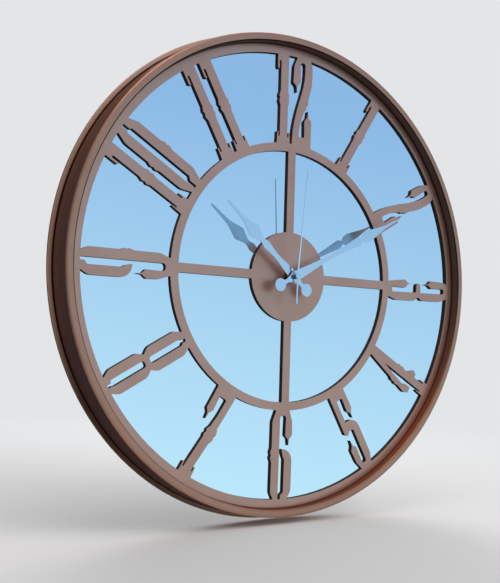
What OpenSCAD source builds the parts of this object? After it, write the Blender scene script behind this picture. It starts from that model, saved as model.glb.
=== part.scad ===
// Round wall clock: a cut-out numeral plate laid over a full mirror in a deep
// copper frame, driven by a battery quartz movement behind the board.
// The clock is drawn lying on its back (x right, y up the dial, z from the wall
// towards the viewer) and each piece is then stood upright: the front faces -Y.

/* [Frame] */
// Outside radius of the frame's side wall
frame_r = 245; // [220:0.5:280]
// Room between the movement and the wall
wall_room = 0.8; // [0.5:0.1:6]
// Width of the frame's front face
face_w = 8; // [7:0.5:11]
// Thickness of the side wall behind the front face
wall_t = 3; // [2.5:0.25:4]
// Height of the lip from the front face down to the dial
lip_d = 10; // [7:0.5:12]
// How far the back flange stands out of the side wall
flange_w = 5; // [2:0.5:8]
// Thickness of the back flange
flange_t = 3; // [2:0.25:5]
// Rounding of the front face's outer edge
edge_r = 2.5; // [0.5:0.25:4]
// Rounding of the front face's inner edge
inner_edge_r = 1.5; // [0.5:0.25:3]
// Rounding of the back flange's edges
flange_round = 0.6; // [0.3:0.1:0.9]
// Fillet between the side wall and the back flange
flange_fillet = 0.3; // [0.2:0.1:1.5]

/* [Dial plate] */
// Thickness of the dial plate
dial_t = 2.7; // [1.5:0.1:4]
// Width of the outer ring that shows inside the frame
outer_ring_w = 9; // [5:0.5:15]
// Outside radius of the inner ring
inner_ring_r = 137.5; // [115:0.5:155]
// Width of the inner ring
inner_ring_w = 8.4; // [6:0.2:12]
// Radius of the centre disc
hub_disc_r = 46; // [35:0.5:60]
// Width of the four spokes
spoke_w = 9.2; // [5:0.2:14]

/* [Numerals] */
// Width of an upright stroke
stroke = 9.4; // [8.4:0.1:10]
// How far the spurs at mid height stand out of a stroke
spur = 1.6; // [0.6:0.1:2.2]
// Length of the points that end the open strokes
barb_h = 10; // [6:0.5:11]
// Width of the slot inside a round digit
slot_w = 6.6; // [5:0.2:7.2]
// Height of the foot tabs
foot_h = 10.5; // [8:0.5:14]

/* [Mirror and board] */
// Thickness of the mirror
mirror_t = 3; // [2:0.5:4]
// Thickness of the back board
board_t = 2.5; // [2:0.25:3]
// Gap between the discs and the frame's side wall
disc_gap = 0.5; // [0.3:0.1:1.5]
// Number of sheet points that hold the board in the frame
point_count = 12; // [6:1:24]
// Width of a sheet point
point_w = 12; // [8:0.5:20]
// Length of a sheet point that shows inside the frame
point_reach = 7; // [4:0.5:15]
// Depth to which a sheet point is driven into the wall
point_sunk = 2; // [1:0.25:2.25]
// Thickness of a sheet point
point_t = 0.5; // [0.3:0.1:1]

/* [Hanger] */
// Distance of the hanger's keyhole from the board's edge
hanger_inset = 37.5; // [25:0.5:90]
// Thickness of the hanger's steel
hanger_t = 1.5; // [1:0.25:2]
// Room for a screw head behind the hanger
hanger_room = 6; // [4:0.5:8]
// Length of the hanger's raised bridge
bridge_w = 40; // [30:1:60]
// Height of the hanger's strip
hanger_h = 26; // [24:1:36]
// Length of each foot tab of the hanger
tab_w = 14; // [10:1:20]
// Radius of the keyhole's round part
keyhole_r = 5; // [4:0.25:6]
// Radius of the keyhole's narrow end
keyway_r = 2.5; // [2:0.25:3]
// Distance from the round part to the narrow end
keyway_rise = 9; // [8:0.5:9.5]
// Radius of a rivet's shank
rivet_r = 2; // [1.5:0.25:3]

/* [Hands] */
// Length of the hour hand
hour_len = 108; // [98:1:116]
// Length of the minute hand
minute_len = 156; // [146:1:170]
// Length of the second hand
second_len = 107; // [80:1:150]
// Tail of the second hand
second_tail = 28; // [15:1:40]
// Clock angle of the hour hand
hour_angle = 309; // [0:1:359]
// Clock angle of the minute hand
minute_angle = 62; // [0:1:359]
// Clock angle of the second hand
second_angle = 1; // [0:1:359]
// Height of the hour hand over the dial
hour_rise = 9.2; // [8.2:0.1:9.4]
// Height of the minute hand over the dial
minute_rise = 11.8; // [11.7:0.1:12.3]
// Height of the second hand over the dial
second_rise = 15.4; // [15.2:0.1:18]
// Outward set of the hour hand's blade, in degrees
hour_set = 2; // [0:0.1:2]
// Outward set of the minute hand's blade, in degrees
minute_set = 1.4; // [1.4:0.1:1.8]
// Outward set of the second hand's blade, in degrees
second_set = 5.8; // [2:0.1:7]
// Thickness of the hour and minute hands
hand_t = 0.5; // [0.3:0.05:0.6]
// Radius of the counterweight on a hand's tail
lobe_r = 6.6; // [5:0.1:8]
// Distance of the counterweight from the hand axis
lobe_at = 20.8; // [18:0.1:24]
// Radius of the hub of the hour and minute hands
hub_r = 5.8; // [5.2:0.1:7]
// Width of the second hand at its hub
second_w = 1.8; // [1:0.1:2.4]
// Radius of the second hand's tube and cap
cap_r = 2.9; // [2:0.1:3.5]

/* [Movement case] */
// Width of the movement
case_w = 56; // [50:0.5:64]
// Thickness of the movement
case_t = 15.5; // [15.5:0.1:15.9]
// Wall of the movement case
case_wall = 1.2; // [1:0.1:1.4]
// Rounding of the case's corners
case_round = 3; // [1:0.5:4]
// Thickness of the rubber gasket in front of the case
gasket_t = 0.5; // [0.3:0.1:0.6]
// Radius of the rubber gasket
gasket_r = 14; // [8:0.5:24]
// Radius of the threaded bush
bush_r = 4; // [3.5:0.25:4.5]
// Radial clearance of the bush in the dial, board, gasket and washer
bush_gap = 0.1; // [0.05:0.05:0.4]
// Radial clearance of the bush in the mirror
glass_gap = 0.5; // [0.3:0.1:2]
// How far the bush stands out in front of the dial
bush_rise = 4.6; // [4:0.1:5.6]
// Width across the flats of the hex nut
nut_af = 10; // [10:0.5:13]
// Thickness of the hex nut
nut_t = 1.75; // [1.5:0.25:3]
// Thickness of the washer under the hex nut
washer_t = 0.5; // [0.3:0.1:1]

/* [Gear train] */
// Distance from the hand axis to the motion wheel
motion_dist = 12; // [11.8:0.1:12.2]
// Distance from the hand axis to the third wheel
third_dist = 12.2; // [12:0.1:12.4]
// Distance from the hand axis to the fifth wheel
fifth_dist = 9.6; // [9.4:0.1:9.8]
// Distance from the fifth wheel to the rotor
rotor_dist = 8.4; // [8.2:0.1:8.6]
// Radius of the hour wheel's pipe
pipe_r = 2.5; // [2.4:0.05:2.6]
// Radius of the minute tube
tube_r = 1.7; // [1.6:0.05:1.75]
// Radius of the second hand's arbor
arbor_r = 0.5; // [0.4:0.05:0.6]
// Radial clearance of a turning fit
run_gap = 0.05; // [0.03:0.01:0.08]
// Radial clearance of a fixed fit
fit = 0.02; // [0.01:0.01:0.03]

/* [Battery] */
// Radius of the cell
cell_r = 7.25; // [7:0.05:7.25]
// Length of the cell's positive cap
cell_nub = 1.3; // [1:0.1:1.6]
// Room between each end of the cell and its contact plate
spring_room = 1.15; // [0.6:0.05:3]

/* [Hidden] */
$fn = 96;

copper = "#9a6f5c";
silver = "#c9d3dd";
steel = "#b4b7ba";
brass = "#c2a35a";
white_plastic = "#e8e6e0";
black_plastic = "#1d1e20";

// Heights above the wall
case_front = wall_room + case_t;
board_back = case_front + gasket_t;
mirror_back = board_back + board_t;
dial_back = mirror_back + mirror_t;
dial_front = dial_back + dial_t;
frame_d = dial_front + lip_d;
hour_z = dial_front + hour_rise;
minute_z = dial_front + minute_rise;
second_z = dial_front + second_rise;

// Radii of the discs and of the dial's rings
frame_in_r = frame_r - face_w;
rebate_r = frame_r - wall_t;
disc_r = rebate_r - disc_gap;
opening_r = frame_in_r - outer_ring_w;
hanger_y = disc_r - hanger_inset;
numeral_h = opening_r - inner_ring_r;
half_h = numeral_h / 2;
half_stroke = stroke / 2;
half_slot = slot_w / 2;
round_half = half_slot + stroke;
// Heights at which the lower and upper open strokes end
low_end = 0.285 * numeral_h;
high_end = 0.72 * numeral_h;
// Run of a numeral into the rings above and below it
lap = 3;

// Inside of the movement: depths are measured from its front face
case_half = case_w / 2;
room_half = case_half - case_wall;
cover_gap = 0.1;
cover_in = case_t - case_wall;
plate_in = 7.4;
plate_out = 8;
plate_gap = 0.8;
pivot_r = 0.4;
pivot_in = 1.2;
pivot_hole = 1.6;
boss_r = 1.5;
boss_end = cover_in - 1.4;
pivot_end = boss_end + pivot_in;
third_boss_end = 5.4;
knob_boss_end = 3.4;

// Tooth counts: the seconds train runs 30 to 1 and 60 to 1, the motion work 12 to 1
rotor_n = 8;
fifth_n = 48;
fifth_pinion_n = 8;
second_n = 40;
second_pinion_n = 8;
third_n = 60;
third_pinion_n = 8;
centre_n = 64;
cannon_n = 12;
motion_n = 36;
motion_pinion_n = 10;
hour_n = 40;
knob_n = 12;

// Directions and places of the wheel arbors
motion_dir = 75;
knob_dir = 20;
third_dir = 8;
fifth_dir = 150;
rotor_dir = 120;
motion_at = polar(motion_dist, motion_dir);
knob_dist = motion_dist * (motion_n + knob_n) / (motion_n + cannon_n);
knob_at = motion_at + polar(knob_dist, knob_dir);
third_at = polar(third_dist, third_dir);
fifth_at = polar(fifth_dist, fifth_dir);
rotor_at = fifth_at + polar(rotor_dist, rotor_dir);

// Modules that follow from the distances and the tooth counts
cannon_m = pair_module(motion_dist, cannon_n, motion_n);
hour_m = pair_module(motion_dist, motion_pinion_n, hour_n);
third_m = pair_module(third_dist, second_pinion_n, third_n);
centre_m = pair_module(third_dist, third_pinion_n, centre_n);
second_m = pair_module(fifth_dist, second_n, fifth_pinion_n);
rotor_m = pair_module(rotor_dist, rotor_n, fifth_n);

// Turns that put a tooth of each wheel into a gap of the wheel that drives it
motion_turn = mesh_turn(motion_dir, cannon_n, 0, motion_n);
hour_turn = mesh_turn(motion_dir + 180, motion_pinion_n, 0, hour_n);
knob_turn = mesh_turn(knob_dir, motion_n, motion_turn, knob_n);
third_turn = mesh_turn(third_dir, second_pinion_n, 0, third_n);
centre_turn = mesh_turn(third_dir + 180, third_pinion_n, 0, centre_n);
fifth_turn = mesh_turn(fifth_dir, second_n, 0, fifth_pinion_n);
rotor_turn = mesh_turn(rotor_dir, fifth_n, 0, rotor_n);

// Depths of the wheels, from the movement's front face
hour_layer = [2.5, 3.5];
motion_layer = [4.2, 5.2];
cannon_layer = [4, 5.5];
centre_layer = [6, 7];
third_layer = [8.5, 9.4];
second_layer = [10.2, 11];
fifth_layer = [11.7, 12.5];
rotor_layer = [11.4, 12.7];
magnet_layer = [8.5, 10.8];
stator_layer = [9.2, 10];
core_layer = [10, 10.8];
board_layer = [8.6, 9.4];
strip_layer = [8.8, 10.2];
end_layer = [5.5, 10.2];
post_end = 5.8;
magnet_r = 3;
collar_r = 1;

// Coil and its core, above the rotor
stator_r = magnet_r + 2.2;
coil_rise = 1;
core_ends = [0.8 - room_half, 0];
core_h = 3;
bobbin_ends = [core_ends[0] + 4, core_ends[1] - 4];
bobbin_r = 3.2;
coil_y = rotor_at[1] + stator_r + coil_rise + bobbin_r;
winding_r = 2.9;
bobbin_core_r = 1.9;
flange_len = 0.8;
coil_gap = 0.6;
coil_depth = (core_layer[0] + core_layer[1]) / 2;
pad_x = [core_ends[0] + 2, core_ends[1] - 2];

// Setting knob and its pocket in the cover
knob_r = 5;
grip_count = 12;
knob_shaft_r = 1.2;
knob_pivot_r = 0.8;
knob_layer = [12.4, 15.2];
pocket_r = 5.6;
pocket_wall = 1;
pocket_floor = [11, 12];

// Room of the train, from under the centre wheel to over the coil, and the bay of the cell below it
train_gap = 0.6;
coil_room = 2.1;
bay_wall = 0.6;
bay_h = 2 * cell_r + 0.3;
room_low = -tip_r(centre_n, centre_m) - train_gap;
room_high = coil_y + bobbin_r + coil_room;
bay_high = room_low - case_wall;
bay_low = bay_high - bay_h;

// Cell and its contacts
cell_depth = bay_wall + cell_r;
cell_y = (bay_low + bay_high) / 2;
contact_t = 0.4;
slot_gap = 0.1;
cell_len = 2 * (room_half - contact_t - spring_room) - cell_nub;
cell_end = cell_len / 2 + cell_nub / 2;
nub_r = 2.75;

function polar(r, a) = [r * cos(a), r * sin(a)];
function pair_module(dist, n_a, n_b) = 2 * dist / (n_a + n_b);
function mesh_turn(dir, n_a, turn_a, n_b) = dir + 180 + 180 / n_b - (turn_a - dir) * n_a / n_b;
function tip_r(n, m) = m * (n / 2 + 0.85);
function root_r(n, m) = m * (n / 2 - 1.15);

// Outline of a spur wheel with straight-sided teeth, a tooth on the x axis
function gear_points(n, m) = [
    for (i = [0 : n - 1])
        for (p = [[-0.3, root_r(n, m)], [-0.09, tip_r(n, m)], [0.09, tip_r(n, m)], [0.3, root_r(n, m)]])
            polar(p[1], (i + p[0]) * 360 / n)
];

// Corners [x, y] stay sharp, and corners [x, y, r] become arcs of radius r
function rounded(p) = [
    for (i = [0 : len(p) - 1])
        each corner(p[(i + len(p) - 1) % len(p)], p[i], p[(i + 1) % len(p)])
];
function flat(p) = [p[0], p[1]];
function unit(v) = v / norm(v);
function corner(a, b, c) = len(b) < 3
    ? [b]
    : arc_corner(flat(b), unit(flat(a) - flat(b)), unit(flat(c) - flat(b)), b[2]);
function arc_corner(b, u, v, r) =
    let (half = acos(u * v) / 2,
         centre = b + unit(u + v) * r / sin(half),
         from = b + u * r / tan(half) - centre,
         to = b + v * r / tan(half) - centre,
         a0 = atan2(from[1], from[0]),
         turn = (atan2(to[1], to[0]) - a0 + 540) % 360 - 180,
         steps = max(2, ceil(abs(turn) / 15)))
    [for (i = [0 : steps]) centre + polar(r, a0 + turn * i / steps)];
function cubic(a, b, c, d, steps) = [
    for (i = [0 : steps])
        let (t = i / steps, s = 1 - t)
        s * s * s * a + 3 * s * s * t * b + 3 * s * t * t * c + t * t * t * d
];
function mirrored(p) = [
    for (i = [len(p) - 1 : -1 : 0])
        len(p[i]) < 3 ? [-p[i][0], p[i][1]] : [-p[i][0], p[i][1], p[i][2]]
];
function moved(p, dx) = [for (c = p) len(c) < 3 ? [c[0] + dx, c[1]] : [c[0] + dx, c[1], c[2]]];

module hung() rotate([90, 0, 0]) children();
module raised(z, t) translate([0, 0, z]) linear_extrude(t) children();
module layer(depths) raised(case_front - depths[1], depths[1] - depths[0]) children();
module at(p) translate([p[0], p[1]]) children();
module tooth_wheel(n, m, turn) rotate(turn) polygon(gear_points(n, m));
module plate_box(x, y) translate([x[0], y[0]]) square([x[1] - x[0], y[1] - y[0]]);
module rounded_box(x, y, r)
    polygon(rounded([[x[0], y[0], r], [x[1], y[0], r], [x[1], y[1], r], [x[0], y[1], r]]));

// Frame, discs and what holds them

module frame_profile()
    polygon(rounded([
        [frame_in_r, frame_d, inner_edge_r],
        [frame_r, frame_d, edge_r],
        [frame_r, flange_t, flange_fillet],
        [frame_r + flange_w, flange_t, flange_round],
        [frame_r + flange_w, 0, flange_round],
        [rebate_r, 0],
        [rebate_r, dial_front],
        [frame_in_r, dial_front]
    ]));

module point_outline(gap) translate([rebate_r - point_reach, -point_w / 2 - gap])
    square([point_reach + point_sunk + gap, point_w + 2 * gap]);

module point_ring(gap)
    for (i = [0 : point_count - 1])
        rotate((i + 0.5) * 360 / point_count)
            raised(board_back - point_t - gap, point_t + gap) point_outline(gap);

module frame_ring() color(copper) hung() difference() {
    rotate_extrude() frame_profile();
    point_ring(fit);
}

module retaining_points() color(steel) hung() point_ring(0);

module disc(z, t, hole_r) raised(z, t) difference() {
    circle(r = disc_r);
    circle(r = hole_r);
}

module mirror_glass() color("#a9cdee") hung() disc(mirror_back, mirror_t, bush_r + glass_gap);

module back_board() color("#6b4a33") hung() difference() {
    disc(board_back, board_t, bush_r + bush_gap);
    for (side = [-1, 1])
        translate([side * rivet_x, hanger_y, board_back - 1]) cylinder(r = rivet_r + fit, h = board_t + 2);
}

// Numerals: x from the middle of a digit, y from its foot

module spurs(half, sides) polygon([
    for (s = sides)
        each [[s * (half - 0.2), -8 * s], [s * (half + spur), -2.6 * s], [s * (half + 0.5), 0],
              [s * (half + spur), 2.6 * s], [s * (half - 0.2), 8 * s]]
]);

// Foot tab beside a stem of the given half width, read from the ring up
function foot(half) = [
    [half + 3.5, -lap], [half + 3.3, 1], [half + 2.8, foot_h], [half + 1.6, foot_h],
    [half + 1.6, foot_h - 4.5], [half, foot_h - 4.5]
];

// Point that ends an open stroke from x0 to x1 at height y, read from x0 to x1
function barb(x0, x1, y, way) =
    let (mid = (x0 + x1) / 2, s = sign(x1 - x0))
    [[x0 - s * 0.5, y], [mid - s * 0.8, y + way * barb_h * 0.36, 2.5], [mid, y + way * barb_h],
     [mid + s * 0.8, y + way * barb_h * 0.36, 2.5], [x1 + s * 0.5, y - way * 1]];

module digit_1() {
    polygon(rounded(concat(
        foot(half_stroke),
        [[half_stroke, numeral_h + lap], [-half_stroke - 4.4, numeral_h + lap],
         [-half_stroke - 4.4, numeral_h - 14.5], [-half_stroke - 2.3, numeral_h - 16],
         [-half_stroke - 2.3, numeral_h - 7, 0.8], [-half_stroke, numeral_h - 7, 0.8]],
        mirrored(foot(half_stroke))
    )));
    translate([0, half_h]) spurs(half_stroke, [1, -1]);
}

// Upright slot with a narrower throat at one end
function throat_slot(low, high, throat_x, way) =
    let (close = way > 0 ? high - 8 : low + 8, far = way > 0 ? low : high, end = way > 0 ? high : low)
    [[-half_slot, far, 2.4], [half_slot, far, 2.4], [half_slot, close - way * 2, 1.2],
     [throat_x + 1.5, close, 0.8], [throat_x + 1.5, end], [throat_x - 1.5, end],
     [throat_x - 1.5, close, 0.8], [-half_slot, close - way * 1.5, 0.8]];

module digit_0() {
    shoulder = [[8.2, -lap], [8.2, 0.5], [round_half, 11.5, 9], [round_half, numeral_h - 11, 9],
                [8.8, numeral_h - 0.5], [8.8, numeral_h + lap]];
    difference() {
        union() {
            polygon(rounded(concat(shoulder, mirrored(shoulder))));
            translate([0, half_h]) spurs(round_half, [1, -1]);
        }
        polygon(rounded([
            [-2.8, -lap - 1], [0, -lap - 1], [0, 7.5, 0.8], [half_slot, 10.5, 1.2],
            [half_slot, numeral_h - 9.5, 0.8], [1.4, numeral_h - 7.5, 0.8], [1.4, numeral_h + lap + 1],
            [-1.8, numeral_h + lap + 1], [-1.8, numeral_h - 7, 0.8], [-half_slot, numeral_h - 8, 0.8],
            [-half_slot, 9.5, 0.8], [-2.8, 7.5, 0.8]
        ]));
    }
}

module digit_2() {
    reach = half_slot + stroke - 0.5;
    left_edge = cubic([half_slot - 0.6, 0.83 * numeral_h], [half_slot - 0.6, 0.61 * numeral_h],
                      [-reach + 1, 0.39 * numeral_h], [-reach, 4], 8);
    right_edge = cubic([-half_slot - 0.3, 12], [-half_slot - 0.3, 0.33 * numeral_h],
                       [reach, 0.55 * numeral_h], [reach, 0.8 * numeral_h], 8);
    polygon(rounded(concat(
        [[-reach, -lap], [reach - 0.3, -lap]],
        barb(reach - 0.6, half_slot + 0.3, low_end + 1, 1),
        [[half_slot + 0.3, 8.5, 1.5], [-half_slot - 0.3, 8.5, 1.5]],
        right_edge,
        [[reach, numeral_h - 7, 8], [9.4, numeral_h - 0.5], [9.4, numeral_h + lap],
         [-7.6, numeral_h + lap], [-7.6, numeral_h - 0.5], [-reach + 0.8, numeral_h - 9, 8]],
        barb(-reach + 0.6, -half_slot, high_end - 1, -1),
        [[-half_slot, numeral_h - 4.5, 2.6], [half_slot - 0.6, numeral_h - 4.5, 2.6]],
        left_edge
    )));
    translate([1.1, half_h - 2.5]) rotate(-24) spurs(half_stroke - 0.8, [1, -1]);
}

module digit_3() {
    reach = half_slot + stroke - 1.2;
    polygon(rounded(concat(
        [[-reach + 2.4, -lap], [8, -lap], [8, 0.5], [reach, 11, 8], [reach, half_h - 6, 4],
         [reach - 4, half_h, 0.8], [reach - 0.3, half_h + 6, 3], [reach - 0.3, numeral_h - 10, 8],
         [8, numeral_h - 0.5], [8, numeral_h + lap], [-reach + 2, numeral_h + lap],
         [-reach + 2, numeral_h - 0.5], [-reach, numeral_h - 9, 6]],
        barb(-reach, -half_slot - 0.4, high_end, -1),
        [[-half_slot - 0.4, numeral_h - 4.5, 2.4], [half_slot - 1, numeral_h - 4.5, 2.4],
         [half_slot - 1, half_h + 3.6, 0.8], [-half_slot - 3.6, half_h + 3.4, 1.2],
         [-half_slot - 5, half_h], [-half_slot - 3.4, half_h - 2.6, 0.8], [half_slot - 1, half_h - 3, 2],
         [half_slot - 1, 5.5, 1.5], [-half_slot, 5.5, 1.5]],
        barb(-half_slot, -reach, low_end, 1)
    )));
}

module digit_4() {
    half = half_stroke - 0.4;
    bar = 0.232 * numeral_h;
    head = [-6.5, numeral_h - 1];
    elbow = [-17, bar + 11];
    lean = atan2(head[0] - elbow[0], head[1] - elbow[1]);
    edge_x = head[0] - (head[1] - half_h) * tan(lean);
    inset = half_stroke - 2;
    polygon(rounded(concat(
        foot(half),
        [[half, bar], [half + 4, bar], [half + 6.5, bar + 4.5], [half, bar + 13.5, 2],
         [half + 0.4, numeral_h + lap], [head[0], numeral_h + lap], head, elbow, [-17.8, bar + 5.5],
         [-15.4, bar], [-8.8, bar], [-8.8, bar + 8], [-11, bar + 13.5], [-half - 0.4, 0.762 * numeral_h],
         [-half, 0.663 * numeral_h]],
        mirrored(foot(half))
    )));
    translate([0, half_h]) spurs(half, [1]);
    translate([edge_x + inset, half_h]) rotate(-lean) spurs(inset, [-1]);
}

module digit_5() {
    reach = half_slot + stroke - 1.8;
    polygon(rounded(concat(
        [[-7.6, -lap], [7.6, -lap], [7.6, 0.3], [reach, 10, 8], [reach, half_h + 11.2, 12],
         [-half_slot - 0.4, half_h + 11.2], [-half_slot - 0.4, numeral_h - 8, 1.5],
         [half_slot + 0.8, numeral_h - 8, 1.5]],
        barb(half_slot + 0.8, reach - 0.4, high_end + 1, -1),
        [[reach - 0.4, numeral_h + lap], [-reach + 0.3, numeral_h + lap], [-reach + 0.3, half_h - 0.8],
         [-half_slot - 4.2, half_h - 3.4], [-half_slot - 0.4, half_h + 0.2, 0.6],
         [half_slot - 1, half_h + 0.2, 2.4], [half_slot - 1, 4.8, 2.4], [-half_slot - 0.4, 4.8, 2.4]],
        barb(-half_slot - 0.4, -reach, low_end, 1),
        [[-reach, 10, 8], [-7.6, 0.3]]
    )));
}

// Nine, with its bowl curled short of the stem
module digit_9() {
    polygon(rounded(concat(
        [[-8.3, -lap], [8.7, -lap], [8.7, 0.5], [round_half, 11, 8], [round_half, numeral_h - 7, 7],
         [9.4, numeral_h - 0.5], [9.4, numeral_h + lap], [half_slot, numeral_h + lap],
         [half_slot, 5, 3], [-half_slot - 0.9, 5, 3]],
        barb(-half_slot - 0.9, -round_half + 0.8, low_end, 1),
        [[-round_half + 0.8, 11, 8], [-8.3, 0.5]]
    )));
    polygon(rounded([
        [-8.4, numeral_h + lap], [-8.4, numeral_h - 0.5], [-round_half, numeral_h - 8, 8],
        [-round_half, half_h - 5.8, 12], [half_slot - 3, half_h - 5.8], [half_slot - 4.4, half_h + 0.5, 4],
        [-half_slot, half_h + 5, 3], [-half_slot, numeral_h - 7, 1.5], [half_slot - 3, numeral_h - 4, 1.5],
        [half_slot - 3, numeral_h + lap]
    ]));
    translate([0, half_h]) spurs(round_half, [1]);
}

module digit_6() translate([0, numeral_h]) rotate(180) digit_9();

module digit_7() {
    reach = half_slot + stroke - 1;
    stem_x = -0.6;
    polygon(rounded(concat(
        moved(foot(half_stroke), stem_x),
        [[8, 0.42 * numeral_h, 60], [reach - 0.2, numeral_h - 6], [reach, numeral_h + lap],
         [-reach, numeral_h + lap]],
        barb(-reach, -half_slot - 1.6, high_end + 1, -1),
        [[-half_slot - 1.6, numeral_h - 7.6, 1.5], [half_slot + 0.4, numeral_h - 7.6, 1.5],
         [half_slot - 0.4, 0.73 * numeral_h, 60], [-1.8, 0.4 * numeral_h, 60]],
        moved(mirrored(foot(half_stroke)), stem_x)
    )));
    translate([4.6, half_h]) rotate(-7) spurs(half_stroke, [1, -1]);
}

module digit_8() {
    side = [[8.5, -lap], [8.5, 0.5], [round_half, 7.5, 8], [round_half, half_h - 6.5, 8],
            [8, half_h, 1], [round_half, half_h + 6.5, 8], [round_half, numeral_h - 7.5, 8],
            [8.5, numeral_h - 0.5], [8.5, numeral_h + lap]];
    difference() {
        polygon(rounded(concat(side, mirrored(side))));
        polygon(rounded(throat_slot(-lap - 1, half_h - 2.5, 1, -1)));
        polygon(rounded(throat_slot(half_h + 3.5, numeral_h + lap + 1, 0, 1)));
    }
}

module digit(d) {
    if (d == 0) digit_0();
    if (d == 1) digit_1();
    if (d == 2) digit_2();
    if (d == 3) digit_3();
    if (d == 4) digit_4();
    if (d == 5) digit_5();
    if (d == 6) digit_6();
    if (d == 7) digit_7();
    if (d == 8) digit_8();
    if (d == 9) digit_9();
}

// One row for each hour: its digits, each with its offset and lean
numerals = [
    [[1, -11.6, 0], [2, 11.4, 0]],
    [[1, -2, -2]],
    [[2, 0.6, 0]],
    [[3, 2.8, 0.8]],
    [[4, -2.6, 0]],
    [[5, -2.2, 0]],
    [[6, -2.9, -0.6]],
    [[7, -2, 0]],
    [[8, -0.8, -0.5]],
    [[9, -0.8, 0]],
    [[1, -11.8, 0], [0, 12.9, 0]],
    [[1, -10.2, 0], [1, 9.9, 0]]
];

// Numerals of the lower half stand with their heads towards the centre
module numeral(hour) {
    inward = hour >= 4 && hour <= 8;
    for (d = numerals[hour])
        rotate((inward ? 180 : 0) - 30 * hour)
            translate([d[1], inward ? -opening_r : inner_ring_r])
                translate([0, half_h]) rotate(d[2]) translate([0, -half_h]) digit(d[0]);
}

module ring(r, w) difference() {
    circle(r = r);
    circle(r = r - w);
}

module dial_plate() color(copper) hung() raised(dial_back, dial_t) difference() {
    union() {
        ring(disc_r, disc_r - opening_r);
        ring(inner_ring_r, inner_ring_w);
        circle(r = hub_disc_r);
        for (a = [0 : 90 : 270])
            rotate(a) translate([0, -spoke_w / 2]) square([inner_ring_r - inner_ring_w / 2, spoke_w]);
        for (hour = [0 : 11]) numeral(hour);
    }
    circle(r = bush_r + bush_gap);
}

// Hanger on the back board

rivet_x = bridge_w / 2 + tab_w / 2;
bridge_z = board_back - hanger_room - hanger_t;
rivet_head_t = 1;

module hanger_strip(x, z, t) raised(z, t)
    translate([0, hanger_y]) plate_box(x, [-hanger_h / 2, hanger_h / 2]);

module hanger_plate() color(steel) hung() difference() {
    union() {
        hanger_strip([-bridge_w / 2, bridge_w / 2], bridge_z, hanger_t);
        for (side = [0, 1]) mirror([side, 0, 0]) {
            hanger_strip([bridge_w / 2 - hanger_t, bridge_w / 2], bridge_z, board_back - bridge_z);
            hanger_strip([bridge_w / 2 - hanger_t, bridge_w / 2 + tab_w], board_back - hanger_t, hanger_t);
        }
    }
    translate([0, hanger_y, bridge_z - 1]) {
        cylinder(r = keyhole_r, h = hanger_t + 2);
        translate([0, keyway_rise, 0]) cylinder(r = keyway_r, h = hanger_t + 2);
        translate([-keyway_r, 0, 0]) cube([2 * keyway_r, keyway_rise, hanger_t + 2]);
    }
    for (side = [-1, 1])
        translate([side * rivet_x, hanger_y, bridge_z - 1]) cylinder(r = rivet_r + fit, h = board_back);
}

module hanger_rivets() color(steel) hung()
    for (side = [-1, 1])
        translate([side * rivet_x, hanger_y, board_back - hanger_t - rivet_head_t]) {
            cylinder(r = rivet_r * 1.8, h = rivet_head_t);
            cylinder(r = rivet_r, h = rivet_head_t + hanger_t + board_t);
        }

// Movement: case, bush and fastenings

post_inset = 2.8;
plate_post_r = 2;
plate_posts = [
    for (x = [post_inset - room_half, room_half - post_inset])
        for (y = [room_low + post_inset, room_high - post_inset]) [x, y]
];

// Boss that stands from one depth to another, with a blind pivot hole in its end
module blind_boss(p, from, to, hole_r) {
    hole_end = to + sign(from - to) * pivot_hole;
    difference() {
        layer([min(from, to), max(from, to)]) at(p) circle(r = boss_r);
        layer([min(to, hole_end), max(to, hole_end)]) at(p) circle(r = hole_r);
    }
}

module movement_case() color(black_plastic) hung() {
    difference() {
        layer([0, case_t])
            rounded_box([-case_half, case_half], [bay_low - case_wall, room_high + case_wall], case_round);
        layer([case_wall, case_t + 1]) plate_box([-room_half, room_half], [room_low, room_high]);
        layer([bay_wall, case_t + 1]) plate_box([-room_half, room_half], [bay_low, bay_high]);
        layer([-1, case_wall + 1]) circle(r = bush_r + fit);
        layer(end_layer + [-slot_gap, slot_gap])
            for (side = [0, 1]) mirror([side, 0])
                plate_box([room_half - contact_t - slot_gap, room_half], [bay_high - 1, room_low + 1]);
    }
    for (p = plate_posts) layer([case_wall, plate_in]) at(p) circle(r = plate_post_r);
    layer([case_wall, post_end]) at(motion_at) circle(r = collar_r);
    blind_boss(third_at, case_wall, third_boss_end, pivot_r + run_gap);
    blind_boss(knob_at, case_wall, knob_boss_end, knob_pivot_r + run_gap);
}

module movement_cover() color(black_plastic) hung() {
    difference() {
        union() {
            layer([cover_in, case_t])
                plate_box([cover_gap - room_half, room_half - cover_gap],
                          [room_low + cover_gap, room_high - cover_gap]);
            layer([pocket_floor[0], case_t]) at(knob_at) circle(r = pocket_r + pocket_wall);
        }
        layer([pocket_floor[1], case_t + 1]) at(knob_at) circle(r = pocket_r);
        layer([pocket_floor[0] - 1, case_t + 1]) at(knob_at) circle(r = knob_shaft_r + run_gap);
    }
    for (p = [[0, 0], third_at, fifth_at, rotor_at]) blind_boss(p, cover_in, boss_end, pivot_r + run_gap);
}

module threaded_bush() color(brass) hung() difference() {
    union() {
        layer([case_wall, case_wall + 0.8]) circle(r = bush_r + 2);
        raised(case_front - case_wall, dial_front + bush_rise - case_front + case_wall) circle(r = bush_r);
    }
    raised(0, dial_front + bush_rise + 1) circle(r = pipe_r + run_gap);
}

module washer(z, t, r, hole_r) raised(z, t) difference() {
    circle(r = r);
    circle(r = hole_r);
}

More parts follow.
